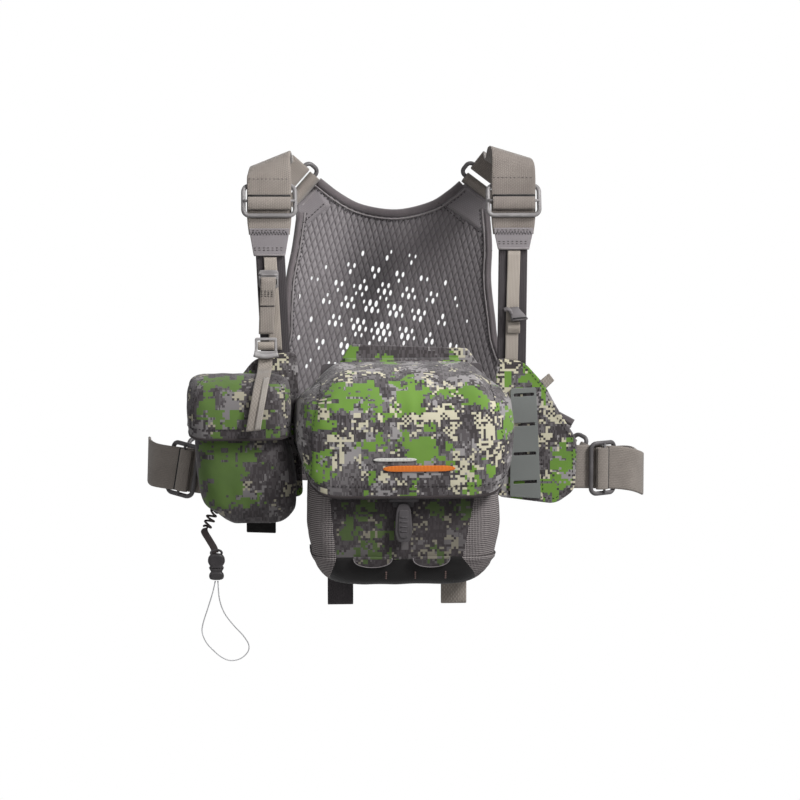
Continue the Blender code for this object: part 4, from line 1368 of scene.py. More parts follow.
def side_strap(side):
    out = OUT[side]
    along = unit((0.45 * out, 0.0, 0.89))
    pull = np.array((SIDE_PULL[0] * out, SIDE_PULL[1], 0.0))
    toward = unit(pull - along * along.dot(pull))
    normal = np.cross(along, toward) * out
    near = np.array((SIDE_RING[0] * out, SIDE_RING[1], SIDE_RING[2]))
    far = near + toward * RING_SPACING
    ring(f"side_ring_{side}_bar", (near + far) / 2, along, toward, f"side_ring_{side}")
    keeper(f"side_keeper_{side}_webbing", near - toward * 5.5, near, -toward, normal, along,
           f"side_keeper_{side}")
    plan = [(136, -101.2), (152, -101.2), (166, -99.4), (188, -93.4), (203, -89), (213, -80),
            (217.5, -62), (218, -36), (217, -4), (214, 24), (205, 48)]
    heights = {
        "left": (-271, -270.5, -269, -266.5, -265, -264, -263, -264, -268, -275, -282),
        "right": (-266, -266, -266.5, -268, -270.5, -274.5, -278, -280, -281, -282, -284),
    }[side]
    body = []
    for (x, y), z in zip(plan, heights):
        share = np.interp(y, (-30, 60), (0, 1))
        lying = upright(side, np.interp(y, (-90, -50), (1, 0)))
        body.append((x * out, y, z, *unit(lying * (1 - share) + along * share) * HALF_WEB))
    body.append((*(far + normal * 4.2 + toward * 9), *along * HALF_WEB))
    ringed_strap(f"waist_strap_{side}", body, (far, toward, normal, along), BAR_RADIUS + 0.6 + 1.3,
                 ((12, -0.4), (5, -0.2)), "webbing", f"side_strap_{side}")


def side_slider(side):
    """The side strap's slider, with its top bar towards the back."""
    out = OUT[side]
    across = Vector(upright(side)) * -out
    normal = Vector((SIDE_RUN[0] * out, SIDE_RUN[1], 0)).cross(across).normalized()
    run = across.cross(normal)
    turn = Matrix((across, normal, run)).transposed().to_4x4()
    place = Matrix.Translation(SIDE_SLIDER_AT[side]) @ turn
    body = f"side_slider_{side}"
    tri_glide(f"side_bars_{side}", place, body, f"side_slider_{side}", "plastic")
    glide_roll(f"side_webbing_{side}", place, body, f"side_roll_{side}")


# ---------------------------------------------------------------- pouches


POUCH_BACK = -106.0
BACK_CORNER = 6


def between_seams(line, seams, columns):
    """A ring resampled so that two of its columns, a quarter and three quarters round, lie
    where its front crosses the two seams."""
    reach = reach_along(line)
    front = line[:, 1] < np.mean([line[:, 1].min(), line[:, 1].max()])
    first, last = np.flatnonzero(front)[[0, -1]]
    rising = np.maximum.accumulate(line[first:last + 1, 0] + np.arange(last + 1 - first) * 1e-6)
    at = [np.interp(x, rising, reach[first:last + 1]) for x in seams]
    quarter = columns // 4
    stops = np.concatenate([np.linspace(0, at[0], quarter + 1)[:-1],
                            np.linspace(at[0], at[1], columns - 2 * quarter + 1)[:-1],
                            np.linspace(at[1], reach[-1], quarter + 1)])
    return np.stack([np.interp(stops, reach, line[:, k]) for k in range(3)], axis=1)


def cup_grid(levels, front_corner, rows, columns, seams=None):
    """Rounded rings down a pouch, evenly spaced round each, with the seam at the back.

    A level is z, left x, right x, back y and front y."""
    fine = evenly_rows(levels, rows)
    grid = []
    for z, x0, x1, back, front in fine:
        radius = min(front_corner, 0.45 * (back - front))
        rear = min(BACK_CORNER, 0.45 * (back - front))
        middle = (x0 + x1) / 2
        line = [(middle, back), (x0 + rear, back)]
        for cx, cy, turn, r in ((x0 + rear, back - rear, 90, rear),
                                (x0 + radius, front + radius, 180, radius),
                                (x1 - radius, front + radius, 270, radius),
                                (x1 - rear, back - rear, 0, rear)):
            for i in range(9):
                angle = math.radians(turn + 90 * i / 8)
                line.append((cx + r * math.cos(angle), cy + r * math.sin(angle)))
        line.append((middle, back))
        line = np.array([(x, y, z) for x, y in line])
        if seams:
            even = between_seams(evenly(line, 8 * columns), seams(z), columns)
        else:
            even = evenly(line, columns + 1)
        grid.append(even[:-1])
    return np.array(grid)


def evenly_rows(levels, count):
    """Levels of a shape, smoothed and spaced evenly down it."""
    fine = smooth(levels, 6)
    reach = np.concatenate([[0.0], np.cumsum(np.linalg.norm(np.diff(fine[:, -3:], axis=0), axis=1)
                                             + np.abs(np.diff(fine[:, 0])))])
    wanted = np.linspace(0, reach[-1], count)
    return np.stack([np.interp(wanted, reach, fine[:, k]) for k in range(fine.shape[1])], axis=1)


def hood_grid(levels, centre, back, rows, columns):
    """A lid, from its hinge line over the top and down the front and both sides.

    A level is half width at the back and the front, front y, front z, z at the back of its
    sides, and the radius of its front corners."""
    fine = smooth(levels, 6)
    reach = reach_along(fine[:, 2:4])
    wanted = np.linspace(0, reach[-1], rows)
    fine = np.stack([np.interp(wanted, reach, fine[:, k]) for k in range(6)], axis=1)
    grid = []
    for half_back, half, front, z_front, z_back, corner in fine:
        radius = min(corner, 0.48 * (back - front), half * 0.5)
        side = [(half_back + (half - half_back) * s * s, back + (front + radius - back) * s)
                for s in (0, 0.25, 0.5, 0.75)]
        line = [(-x, y) for x, y in side]
        for turn in (180, 270):
            for i in range(11):
                angle = math.radians(turn + 9 * i)
                x = math.copysign(half - radius, -1 if turn == 180 else 1)
                line.append((x + radius * math.cos(angle),
                             front + radius + radius * math.sin(angle)))
        line += reversed(side)
        points = [(centre + x, y, z_back + (z_front - z_back) * ((back - y) / (back - front)))
                  for x, y in line]
        grid.append(evenly(points, columns))
    return np.array(grid)


def grid_normals(grid, around):
    """The outward direction at each point of a grid that faces -Y."""
    if around:
        across = np.roll(grid, -1, axis=1) - np.roll(grid, 1, axis=1)
    else:
        across = np.gradient(grid, axis=1)
    down = np.gradient(grid, axis=0)
    found = np.cross(down, across)
    found /= np.maximum(np.linalg.norm(found, axis=2), 1e-9)[:, :, None]
    return found


def shaped(grid, around, rule):
    """The grid moved along its normals by rule(point, normal) millimetres."""
    normals = grid_normals(grid, around)
    out = grid.copy()
    for r in range(grid.shape[0]):
        for c in range(grid.shape[1]):
            out[r, c] += normals[r, c] * rule(grid[r, c], normals[r, c])
    return out


def flat_uv(grid, around, drop):
    """UVs in metres: across from the middle of the front, and down by each row's drop."""
    uv = []
    middle = grid.shape[1] // 2
    for r in range(len(grid)):
        line = np.vstack([grid[r], grid[r][:1]]) if around else grid[r]
        reach = reach_along(line)
        reach = reach - reach[middle] + grid[r][middle][0]
        uv.append([(u * MM, drop[r] * MM) for u in reach])
    return uv


def held_rim(grid):
    """Holds a lid all round its edge while its cloth swells."""
    held = np.zeros(grid.shape[:2])
    held[:3] = held[-3:] = 1.0
    held[:, :3] = held[:, -3:] = 1.0
    return held


def held_back(base):
    """Holds a pouch at its mouth, its foot and its flat back."""
    held = np.zeros(base.shape[:2])
    held[:2] = held[-2:] = 1.0
    held[base[:, :, 1] > -112] = 1.0
    return held


def lid_drop(grid):
    """How far down from the hinge each row of a lid lies, along its middle."""
    return reach_along(grid[:, grid.shape[1] // 2])


PULL = 1.3  # how far a seam draws in its cloth
LID_X = 1.0  # middle of the main lid
ACCESSORY_X = -138.5  # middle of the accessory pouch's lid


def lid_seam(z):
    """How far from the lid's middle its two front seams run."""
    return np.interp(z, (-275, -230, -190), (83.0, 82.0, 74.0))


def lid_shape(point, normal):
    """Folds and swelling of the main lid, and the draw of its two front seams."""
    x, y, z = point
    face = max(0.0, -normal[1])
    swell = 2.2 * face * math.cos(min(1.0, abs(x - LID_X) / 95) * math.pi / 2)
    groove = math.exp(-((abs(x - LID_X) - lid_seam(z)) / 2.2) ** 2) * face
    folds = 1.3 * wrinkle(point, 26.0, 3.0) + 0.7 * wrinkle(point, 11.0, 9.0)
    edge = math.exp(-((z + 205) / 9.0) ** 2) * 0.8 * wrinkle((x, 0, 0), 7.0)
    return swell - PULL * groove + folds + edge


def badge_bar(name, grid, x0, x1, z, half):
    """A plain embroidered bar on the lid's front, round at its ends."""
    front = grid[14:].reshape(-1, 3)
    front = front[front[:, 1] < -170]
    centres = []
    for x in np.linspace(x0, x1, 30):
        near = np.argsort((front[:, 0] - x)**2 + (front[:, 2] - z)**2)[:4]
        centres.append((x, front[near, 1].mean() - 0.7, z))
    centres = smooth(evenly(centres, 10), 4)
    shares = np.linspace(-1, 1, len(centres))
    sides = [(0, 0, half * math.sqrt(max(0.04, 1 - abs(s) ** 6))) for s in shares]
    strap(name + "_bar", centres, sides, 0.9, name, "main_lid", slot="camo")


def main_lid():
    levels = [(50, 50, -114, -172, -173, 30), (66, 66, -128, -174, -177, 32),
              (78, 78, -146, -176.5, -184, 34), (86, 86, -168, -183, -191, 34),
              (91, 90, -184, -200, -203, 34), (93, 91.5, -191, -228, -215, 30),
              (93, 90, -194, -250, -224, 26), (92.5, 86.5, -195, -266, -231, 20),
              (92, 81, -194, -278, -238, 16)]
    base = hood_grid(levels, LID_X, -109.2, 52, 105)
    beyond = np.maximum(0.0, np.abs(base[:, :, 0] - LID_X) - 58.0)
    base[:, :, 2] -= 0.72 * beyond * np.clip((base[:, :, 2] + 202.0) / 30.0, 0.0, 1.0)
    cut = np.maximum(0.0, np.abs(base[:, :, 0] - LID_X) - 52.0) / 38.0
    base[:, :, 2] += 9.0 * cut**2 * np.clip((-236.0 - base[:, :, 2]) / 40.0, 0.0, 1.0)
    grid = shaped(base, False, lid_shape)
    grid[:2] = base[:2]
    lid = grid_piece("lid_cloth", grid, flat_uv(base, False, lid_drop(base)), "camo_lid",
                     "main_lid", replaces=("main_lid",))
    held = held_rim(grid)
    for r in range(grid.shape[0]):
        for c in range(grid.shape[1]):
            x, z = base[r, c, 0] - LID_X, base[r, c, 2]
            if abs(abs(x) - lid_seam(z)) < 1.6 and z < -186:
                held[r, c] = 1.0
    grid = inflate(lid, grid, held, 3.0)
    thicken(lid, 2.0, -1.0, 1)
    hem = grid[-1] + grid_normals(grid, False)[-1] * -0.8
    tube("lid_binding", evenly(hem, 120), 1.5, "dark_binding", "main_lid", "binding",
         sides=10)
    normals = grid_normals(grid, False)
    row = grid.shape[0] - 4
    lines = [(grid[row] + normals[row] * 0.3, normals[row])]
    for sign in (-1, 1):
        seam, out = [], []
        for r in range(12, grid.shape[0] - 2):
            seam_x = lid_seam(base[r, :, 2].mean()) - 2.6
            front = [c for c in range(grid.shape[1]) if normals[r, c, 1] < -0.1]
            c = min(front, key=lambda k: abs(base[r, k, 0] - LID_X - sign * seam_x))
            seam.append(grid[r, c] + normals[r, c] * 0.3)
            out.append(normals[r, c])
        lines.append((np.array(seam), np.array(out)))
    stitches("lid_stitches", lines, "dark_thread", "main_lid", "camo")
    for name, x0, x1, z, half in (("embroidery", -20.0, 40.0, -254.0, 2.6),
                                  ("embroidery_white", -28.0, 8.0, -246.5, 1.5)):
        badge_bar(name, grid, x0, x1, z, half)
    strip = [(-43, -158), (58, -162), (75, -187), (-60, -187)]
    plate("hinge_cloth", [round_corners(strip, 3.0)], -104.2, 2.4, "camo_strip",
          replaces=("hinge_strip",), bevel=0.9)
    rows = [[(x, y, z) for x in np.linspace(-48, 50, 15)]
            for y, z in ((-104.6, -170.4), (-107.5, -170.9), (-110.5, -171.6), (-114.5, -172.8))]
    fold = grid_piece("hinge_fold", np.array(rows), front_uv(rows), "camo_strip", None)
    thicken(fold, 1.2, 0.0)
    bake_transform(fold)
    for name, x0, x1, top in (("pouch_back_wall", -68, 70, -174.5),
                              ("accessory_back_wall", -173, -103, -185.0)):
        wall = [(x0, top), (x1, top), (x1 + 3, -204), (x0 - 3, -204)]
        plate(name, [round_corners(wall, 4.0)], -107.3, 1.6, "flange",
              bevel=0.5)


def pouch_shape(point, normal):
    x, y, z = point
    face = max(0.0, -normal[1])
    swell = 2.0 * face * math.cos(min(1.0, abs(x) / 80) * math.pi / 2)
    folds = 1.2 * wrinkle(point, 24.0, 13.0) + 0.6 * wrinkle(point, 10.0, 19.0)
    return swell + folds - 0.6


def boot_shape(point, normal):
    """Slight folds, and a top edge that stands over the cloth above it."""
    return 0.7 * wrinkle(point, 16.0, 5.0) + (0.9 if point[2] > -334 else 0)


def pouch_seams(z):
    """Where the pouch's front panel, and the boot below it, meet the two mesh gussets."""
    return (np.interp(z, (-357, -349, -331, -270), (-62.0, -63.5, -58.0, -64.0)),
            np.interp(z, (-357, -345, -331, -270), (61.0, 58.0, 47.0, 59.0)))


def main_pouch():
    levels = [(-190, -75, 74, POUCH_BACK, -170), (-235, -77, 76, POUCH_BACK, -176),
              (-262, -79, 78, POUCH_BACK, -179), (-285, -81.5, 80.5, POUCH_BACK, -181),
              (-310, -82, 81, POUCH_BACK, -182), (-333, -78, 76.5, POUCH_BACK, -181)]
    base = cup_grid(levels, 22, 44, 120, pouch_seams)
    grid = shaped(base, True, pouch_shape)
    pouch = grid_piece("pouch_cloth", grid, flat_uv(base, True, -base[:, 0, 2]), "camo_pouch",
                       replaces=("pouch_body",), around=True)
    mark_gussets(pouch.data, 120)
    held = held_back(base)
    held[:, [30, 90]] = 1.0
    inflate(pouch, grid, held, 3.0)
    thicken(pouch, 2.0, -1.0, 1)
    boot = [(-330.5, -78.3, 76.8, POUCH_BACK, -181.4), (-338, -75.5, 74, POUCH_BACK, -179.5),
            (-345, -71.5, 70, POUCH_BACK, -177), (-353, -64.5, 63, -109, -171),
            (-357, -55.5, 54, -114, -163), (-358, -40, 39, -122, -152),
            (-358.2, -15, 14, -133, -140)]
    base = cup_grid(boot, 22, 24, 96, pouch_seams)
    grid = shaped(base, True, boot_shape)
    foot = grid_piece("boot_cloth", grid, flat_uv(base, True, -base[:, 0, 2]), "boot",
                      replaces=("pouch_boot",), around=True)
    mark_gussets(foot.data, 96)
    for face in foot.data.polygons:
        if face.center.z < -0.352:
            face.material_index = 0
    close_end(foot.data, grid.shape[1])
    thicken(foot, 2.0, -1.0, 0)
    scallops()
    tacks = [([(x, -178.6, -343.5), (x, -176.2, -350.5)], (0, -0.85, -0.5))
             for x in (-16.5, 8.0, 33.5)]
    stitches("boot_bartacks", tacks, "brown_thread", slot="boot", length=1.5, gap=0.4,
             radius=0.8)
    for side, x in (("left", -52.7), ("right", 45.0)):
        path = smooth([(x, -121.0, -352), (x, -120.4, -362), (x, -120.4, -375), (x, -120.9, -379),
                       (x, -122.0, -380.6), (x, -123.1, -379), (x, -123.6, -375),
                       (x, -123.6, -362), (x, -123.2, -352)], 4)
        finish = "webbing_rib" if side == "right" else "dark_webbing"
        strap(f"foot_loop_{side}", path, [(11, 0, 0)] * len(path), 1.5, finish,
              slot="dark_webbing", replaces=(f"bottom_loop_{side}",))


def close_end(data, columns):
    """Fills the small opening left at the last row of a cup."""
    face_outward(data, lambda shape: shape.faces.new(list(shape.verts)[-columns:]))


def mark_gussets(data, columns):
    """Gives the pouch's side panels their mesh cloth, outside its two seam columns."""
    data.materials.append(MATERIALS["mesh"])
    quarter = columns // 4
    for face in data.polygons:
        column = face.index % columns
        face.material_index = 1 if column < quarter or column >= columns - quarter else 0


def scallops():
    """Two rounded flaps of the pouch's front cloth, which hang over the boot's top edge."""
    for name, x0, x1 in (("left", -44.0, -11.7), ("right", 5.8, 36.6)):
        middle, half = (x0 + x1) / 2, (x1 - x0) / 2
        rows, edge = [], []
        xs = middle + half * np.sin(np.linspace(-1, 1, 25) * math.pi / 2)
        for share in np.linspace(0, 1, 7):
            row = []
            for x in xs:
                arc = math.sqrt(max(0.0, 1 - ((x - middle) / half) ** 2)) ** 0.8
                z = -330.0 - share * (1.0 + 8.2 * arc)
                row.append((x, np.interp(z, (-345, -338, -330), (-179.4, -182.2, -184.0)), z))
            rows.append(row)
        grid = np.array(rows)
        flap = grid_piece(f"scallop_{name}", grid, front_uv(rows), "camo_pouch")
        thicken(flap, 0.8, 0.0)
        tube(f"scallop_piping_{name}", grid[-1] + np.array((0, -0.3, 0)), 0.45,
             "piping", slot="binding", sides=8)


def latch():
    x, y, z = LATCH
    bar = [(x + dx, y, z) for dx in np.linspace(-12.5, 12.5, 8)]
    tube("latch_rod", bar, 2.6, "dark_plastic", "main_lid", replaces=("latch_bar",), sides=18)
    half = [(3.5, -3.5), (6.0, -9.0), (7, -20.5), (7.3, -28.5), (4.8, -36)]
    outline = [(x + dx, z + dz) for dx, dz in half]
    outline += [(x - dx, z + dz) for dx, dz in reversed(half)]
    base = plate_mesh("pull_base", [round_corners(outline, 2.4)], y, 2.4, 0.8)
    inner = [(x + dx * 0.62, z - 8 + (dz + 8) * 0.88) for dx, dz in half[1:]]
    inner += [(x - dx * 0.62, z - 8 + (dz + 8) * 0.88) for dx, dz in reversed(half[1:])]
    raised = plate_mesh("pull_raised", [round_corners(inner, 1.8)], y - 1.3, 1.6, 0.5)
    ribs = []
    for dz in (-15.0, -19.0, -23.0, -27.0):
        rib = [(x + dx, y - 2.1, z + dz) for dx in np.linspace(-3.0, 3.0, 4)]
        ribs.append(tube_mesh("pull_rib", rib, 0.6, sides=8))
    add_piece("pull_tab_moulding", join_meshes("pull_tab_moulding", [base, raised, *ribs]),
              "tab_plastic", "pull_tab", ("pull_tab",))
    catch = [(x - 9, z + 3.5), (x + 9, z + 3.5), (x + 9, z - 7.5), (x - 9, z - 7.5)]
    plate("latch_plate", [round_corners(catch, 2.0)], y + 5.4, 2.6, "dark_plastic",
          replaces=("latch_catch",), bevel=0.8)


def accessory_shape(point, normal):
    x, y, z = point
    face = max(0.0, -normal[1])
    swell = 1.2 * face * math.cos(min(1.0, abs(x - ACCESSORY_X) / 44) * math.pi / 2)
    return swell + 0.8 * wrinkle(point, 17.0, 23.0) + 0.4 * wrinkle(point, 8.0, 29.0)


def accessory_pouch():
    levels = [(-191, -176, -99.5, POUCH_BACK, -154), (-232, -176, -98.5, POUCH_BACK, -160),
              (-242, -176.5, -94.5, POUCH_BACK, -161), (-270, -174, -90, POUCH_BACK, -162),
              (-290, -169, -90, -108, -159), (-299, -158.5, -94, -112, -153),
              (-306.5, -147, -102, -118, -146), (-307.5, -135, -114, -127, -138)]
    base = cup_grid(levels, 18, 44, 88)
    grid = shaped(base, True, lambda p, n: accessory_shape(p, n) - 0.6)
    pouch = grid_piece("accessory_cloth", grid, flat_uv(base, True, -base[:, 0, 2]),
                       "camo_accessory", replaces=("accessory_body",), around=True)
    close_end(pouch.data, grid.shape[1])
    held = held_back(base)
    inflate(pouch, grid, held, 2.0)
    thicken(pouch, 2.0, -1.0, 1)
    levels = [(28, 28, -112, -182.0, -183.5, 16), (36, 36, -126, -181.2, -185.5, 18),
              (41, 41, -143, -183.5, -189, 19), (43.3, 43.3, -158, -190, -198, 19),
              (43.6, 43.6, -166, -202, -206, 18), (43.5, 43.3, -169.5, -218, -213, 16),
              (43.5, 42.5, -170, -232, -219, 16)]
    base = hood_grid(levels, ACCESSORY_X, -109.0, 34, 61)
    grid = shaped(base, False, accessory_shape)
    grid[:2] = base[:2]
    uv = [[(u - ACCESSORY_X * MM, v) for u, v in row]
          for row in flat_uv(base, False, lid_drop(base))]
    lid = grid_piece("accessory_lid_cloth", grid, uv, "camo_accessory_lid", "accessory_lid",
                     replaces=("accessory_lid",))
    held = held_rim(grid)
    grid = inflate(lid, grid, held, 2.0)
    thicken(lid, 1.8, -1.0, 1)
    normals = grid_normals(grid, False)
    tube("accessory_binding", evenly(grid[-1] - normals[-1] * 0.7, 80), 1.2,
         "dark_binding", "accessory_lid", "binding", sides=10)
    lines = [(grid[-4, 3:-3] + normals[-4, 3:-3] * 0.2, normals[-4, 3:-3])]
    for c in (17, 43):
        lines.append((grid[12:-2, c] + normals[12:-2, c] * 0.2, normals[12:-2, c]))
    stitches("accessory_stitches", lines, "dark_thread", "accessory_lid", "camo")
    tab = [(-133, -305), (-108, -305), (-108, -317.5), (-133, -316.5)]
    plate("accessory_tab_webbing", [round_corners(tab, 1.2)], -130, 2.2, "boot",
          replaces=("accessory_tab",), bevel=0.7)


# ---------------------------------------------------------------- tether


COIL_ROUTE = [(-158.6, -139, -296.4), (-161.6, -139.4, -298.6), (-163.4, -140, -302.6),
              (-165.2, -140, -307.2), (-167.6, -140, -310.6)]
STRAP_ROUTE = [(-168.8, -140, -312.4), (-168.4, -140, -315), (-164.9, -140, -321),
               (-161.0, -140, -327.8), (-159.6, -140, -332.6)]
CLIP_X = -158.8
LOOP_ROUTE = [(-159.9, -140, -356.5), (-162, -140, -366), (-166, -140, -379),
              (-170.5, -140, -393), (-171.3, -140, -401), (-168, -140, -409.5),
              (-162, -140, -416.5), (-155, -140, -422.5), (-147.5, -140, -425.5),
              (-139, -140, -424), (-132.8, -140, -418.5), (-131.8, -140, -412),
              (-136.5, -140, -404), (-145, -140, -394.5), (-152.5, -140, -384),
              (-156.5, -140, -372), (-157.7, -140, -356.5)]
COIL_TURNS = 3.5
COIL_RADIUS = 3.6
CORD_RADIUS = 0.95


def tether():
    route = evenly(smooth(COIL_ROUTE, 8), 78)
    along = tangents(route)
    coil = []
    for share, place, way in zip(np.linspace(0, 1, len(route)), route, along):
        side = unit(np.cross(way, (0.0, 1.0, 0.0)))
        front = np.cross(side, way)
        angle = math.tau * COIL_TURNS * share
        ease = min(1.0, share * 5, (1 - share) * 5)
        reach = COIL_RADIUS * (0.55 + 0.45 * math.sin(ease * math.pi / 2))
        coil.append(place + side * reach * math.cos(angle) + front * reach * math.sin(angle))
    coil = smooth(coil, 2)
    coil_piece = tube("tether_coil", coil, CORD_RADIUS, "black_cord", slot="black_cord",
                      replaces=("coil_tether",), sides=10)
    path = smooth([COIL_ROUTE[-1], *STRAP_ROUTE], 5)
    band = strap("tether_webbing", path, [(2.9, 0, 0.9)] * len(path), 1.2,
                 "black_cord", slot="black_cord", replaces=("tether_strap",), across=4)
    top, waist, foot = -334.0, -345.4, -355.5
    outlines = {
        "clip_upper": [(2.0, top + 1.2), (4.2, top + 0.6), (5.6, top - 0.6), (6.9, top - 2.5),
                       (7.2, top - 6), (6.2, waist + 3), (5.4, waist + 1.6), (6.4, waist + 0.6)],
        "clip_lower": [(6.3, waist - 0.2), (5.6, waist - 1.5), (4.8, waist - 3.2), (6.0, waist - 5),
                       (6.3, foot + 2.6), (5.4, foot + 0.8), (3.2, foot)],
    }
    for node, half in outlines.items():
        rows = []
        for wide, z in smooth(half, 3):
            deep = 3.5 * min(1.0, wide / 5.5)
            rows.append([(CLIP_X + px * wide, -140 + py * deep, z) for px, py in squircle(0.6)])
        body = "clip_lower" if node == "clip_lower" else "harness"
        add_piece(f"{node}_moulding", moulding_mesh(node, rows), "dark_plastic", body,
                                (node,))
    eye = [(CLIP_X + 4.6 * math.cos(a), -140, top + 1.5 + 2.6 * math.sin(a)) for a in RING_TURNS]
    swivel = tube("tether_eye", eye, 1.0, "dark_plastic", slot="plastic", closed=True)
    line = smooth(LOOP_ROUTE, 4)
    loop = tube("loop_line", line, 0.5, "thin_cord", "clip_lower", "thin_cord",
                ("loop_cord",), sides=8)


# ---------------------------------------------------------------- making


LID_PATCHES = {
    "green": ((-52, 72, 15, 12), (5, 72, 11, 20), (-23, 82, 6, 9), (-33, 66, 7, 5),
              (-26, 113, 11, 6), (11, 116, 15, 11), (26, 124, 12, 6), (61, 74, 9, 6),
              (-82, 92, 5, 9), (85, 95, 4, 12), (-62, 136, 4, 6), (56, 150, 4, 7), (64, 136, 5, 6),
              (-30, 146, 4, 3), (-8, 50, 8, 3)),
    "cream": ((-40, 44, 18, 4), (-70, 88, 6, 11), (-39, 101, 5, 6), (-2, 96, 12, 7),
              (15, 92, 12, 5), (24, 62, 6, 5), (42, 64, 7, 6), (34, 86, 12, 9), (68, 98, 9, 18),
              (60, 114, 8, 6), (46, 136, 8, 12), (-60, 122, 4, 12), (45, 150, 7, 5),
              (-40, 130, 3, 6)),
    "dark": ((-56, 100, 12, 10), (41, 77, 14, 8), (29, 109, 12, 7), (55, 104, 8, 9),
             (8, 149, 26, 9), (-15, 92, 8, 8), (-17, 62, 12, 6), (-78, 120, 10, 20),
             (36, 56, 10, 4), (76, 130, 6, 14)),
}
POUCH_PATCHES = {
    "green": ((-37, 290, 9, 5), (-44, 309, 6, 8), (-18, 309, 7, 7), (-33, 321, 6, 5),
              (-24, 329, 6, 3), (49, 302, 3, 5), (44, 316, 4, 4), (28, 331, 5, 3)),
    "cream": ((-51, 302, 2, 8), (-29, 308, 3, 11), (8, 304, 5, 5), (6, 315, 6, 4), (35, 301, 7, 4),
              (42, 311, 5, 3), (18, 325, 7, 4), (36, 323, 7, 4)),
    # The first dark patch, a wide band just under the lid's hem, is painted shadow of the lid; the
    # rest are dark print.
    "dark": ((0, 290, 60, 10), (22, 310, 10, 11), (-8, 324, 12, 6), (40, 330, 12, 5)),
}
ACCESSORY_LID_PATCHES = {
    "green": ((-14, 40, 17, 10), (-25, 66, 6, 14), (-3, 72, 8, 5), (27, 88, 6, 5), (40, 46, 8, 4)),
    "dark": ((-14, 86, 12, 8), (20, 72, 9, 18), (2, 93, 22, 4), (-37, 70, 5, 16)),
    "cream": ((3, 62, 5, 6), (37, 64, 4, 11)),
}
ACCESSORY_PATCHES = {
    "green": ((-156, 262, 17, 30), (-130, 250, 6, 8), (-134, 284, 8, 6)),
    "cream": ((-152, 260, 2.5, 5), (-141, 278, 2.5, 3), (-149, 283, 3, 2.5)),
    # The tall dark strip at -94 runs down the pouch's right corner and side: painted shade there;
    # the other dark patches are print.
    "dark": ((-113, 283, 10, 8), (-119, 297, 12, 6), (-124, 266, 6, 7), (-94, 266, 7, 44),
             (-170, 286, 4, 5)),
}
WING_PATCHES = {
    "green": ((112, 184, 9, 11), (123, 202, 4, 9), (143, 256, 8, 8), (132, 286, 11, 7),
              (140, 272, 4, 6), (92, 186, 4, 4)),
    "cream": ((126, 240, 6, 10), (90, 176, 8, 5), (136, 268, 4, 8), (-108, 172, 6, 5),
              (104, 174, 6, 4), (142, 244, 4, 5), (128, 276, 6, 3), (114, 190, 3, 4)),
    "dark": ((124, 218, 5, 9), (136, 238, 6, 10), (126, 266, 7, 10), (-122, 178, 9, 7)),
}
STRIP_PATCHES = {
    "green": ((-46, 170, 8, 12), (-12, 173, 4, 3), (44, 173, 4, 4)),
    "cream": ((50, 168, 8, 6),),
    "dark": ((0, 166, 44, 12),),
}

MATERIALS = {}
for name, light, dark, *form in (
        ("webbing", (156, 148, 140), (92, 84, 79)),
        # A darker copy of the webbing: painted shade for the right shoulder strap.
        ("webbing_shaded", (142, 134, 127), (78, 70, 66)),
        ("webbing_light", (176, 170, 162), (128, 120, 114)),
        ("webbing_tan", (176, 167, 157), (112, 104, 97), 1.3, 1.5),
        ("webbing_rib", (168, 160, 150), (110, 102, 96), 1.5, 4.0),
        ("dark_webbing", (72, 67, 69), (38, 34, 36)),
        ("embroidery", (232, 132, 50), (196, 98, 30), 0.5, 3.0),
        ("embroidery_white", (226, 224, 218), (186, 184, 178), 0.5, 3.0),
):
    MATERIALS[name] = webbing_material(name, srgb(*light), srgb(*dark), *form)
for name, light, dark, *form in (
        ("patch", (144, 139, 141), (96, 91, 93)),
        ("flange", (100, 95, 97), (62, 57, 59), 1.2),
        ("corner", (134, 129, 131), (96, 91, 93), 1.6),
        ("piping", (146, 140, 141), (100, 95, 96), 0.7),
        ("dark_binding", (66, 58, 58), (38, 33, 34), 0.7),
        ("slate", (126, 129, 126), (104, 107, 105), 0.6, 0.05),
        ("boot", (20, 16, 16), (9, 7, 7), 1.1),
):
    MATERIALS[name] = cloth_material(name, srgb(*light), srgb(*dark), *form)
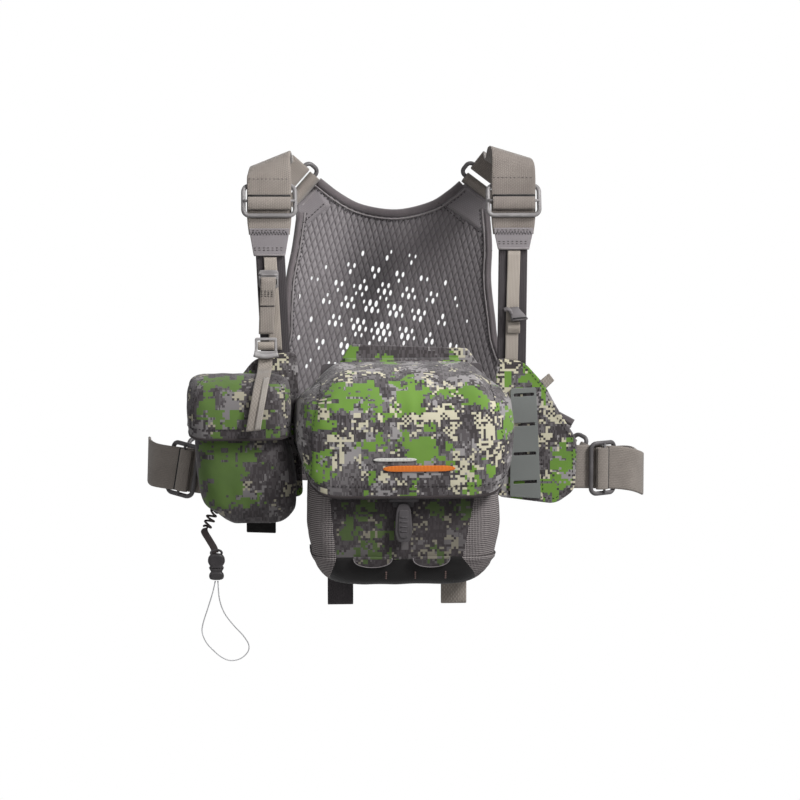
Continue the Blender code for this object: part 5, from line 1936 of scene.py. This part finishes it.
for name, light, dark in (
        ("velvet", (106, 99, 101), (58, 52, 54)),
        ("foam", (80, 78, 78), (50, 48, 48)),
):
    MATERIALS[name] = velvet_material(name, srgb(*light), srgb(*dark))
for name, colour, roughness in (
        ("thread", (70, 64, 64), 0.8),
        ("brown_thread", (84, 66, 62), 0.8),
        ("hook", (84, 80, 81), 0.5),
        ("dark_thread", (34, 30, 31), 0.8),
        ("plastic", (82, 79, 80), 0.5),
        ("dark_plastic", (50, 46, 48), 0.5),
        ("tab_plastic", (64, 60, 62), 0.6),
        ("buckle", (112, 109, 109), 0.48),
        ("light_plastic", (144, 141, 141), 0.45),
        # Near black, for painted shadow laid in gaps and openings.
        ("gap", (22, 20, 21), 0.8),
        ("black_cord", (44, 34, 33), 0.6),
        ("thin_cord", (176, 176, 178), 0.5),
):
    MATERIALS[name] = plastic_material(name, srgb(*colour), roughness)
MATERIALS["quilt"] = quilt_material("quilt", srgb(140, 135, 137), srgb(58, 53, 55))
MATERIALS["mesh"] = mesh_material("mesh", srgb(164, 156, 155), srgb(30, 26, 27), 2.6)
# The fourth number, below 1, darkens a print towards charcoal: painted shade, strongest on the
# pouches that hang under their lids.
for name, patches, seed, lit_share, loose in (
        ("camo_lid", LID_PATCHES, 2.0, 1.0, 0.03),
        ("camo_pouch", POUCH_PATCHES, 5.0, 0.3, 0.04),
        ("camo_accessory", ACCESSORY_PATCHES, 9.0, 0.5, 0.05),
        ("camo_accessory_lid", ACCESSORY_LID_PATCHES, 13.0, 0.58, 0.05),
        ("camo_wing", WING_PATCHES, 21.0, 1.0, 0.0),
        ("camo_strip", STRIP_PATCHES, 27.0, 0.85, 0.2),
):
    MATERIALS[name] = camo_material(name, patches, seed, lit_share, loose)


make_camera()
tether()
make_stage()
back_panel()
bindings()
for each in ("left", "right"):
    shoulder(each)
    shoulder_slider(each)
    chest_run(each)
    side_strap(each)
    side_slider(each)
lift_straps()
ladder_lock()
tail()
keeper_hook()
wings()
main_pouch()
main_lid()
latch()
accessory_pouch()
bpy.data.objects["base_pad"].data.materials.clear()
bpy.data.objects["base_pad"].data.materials.append(MATERIALS["foam"])
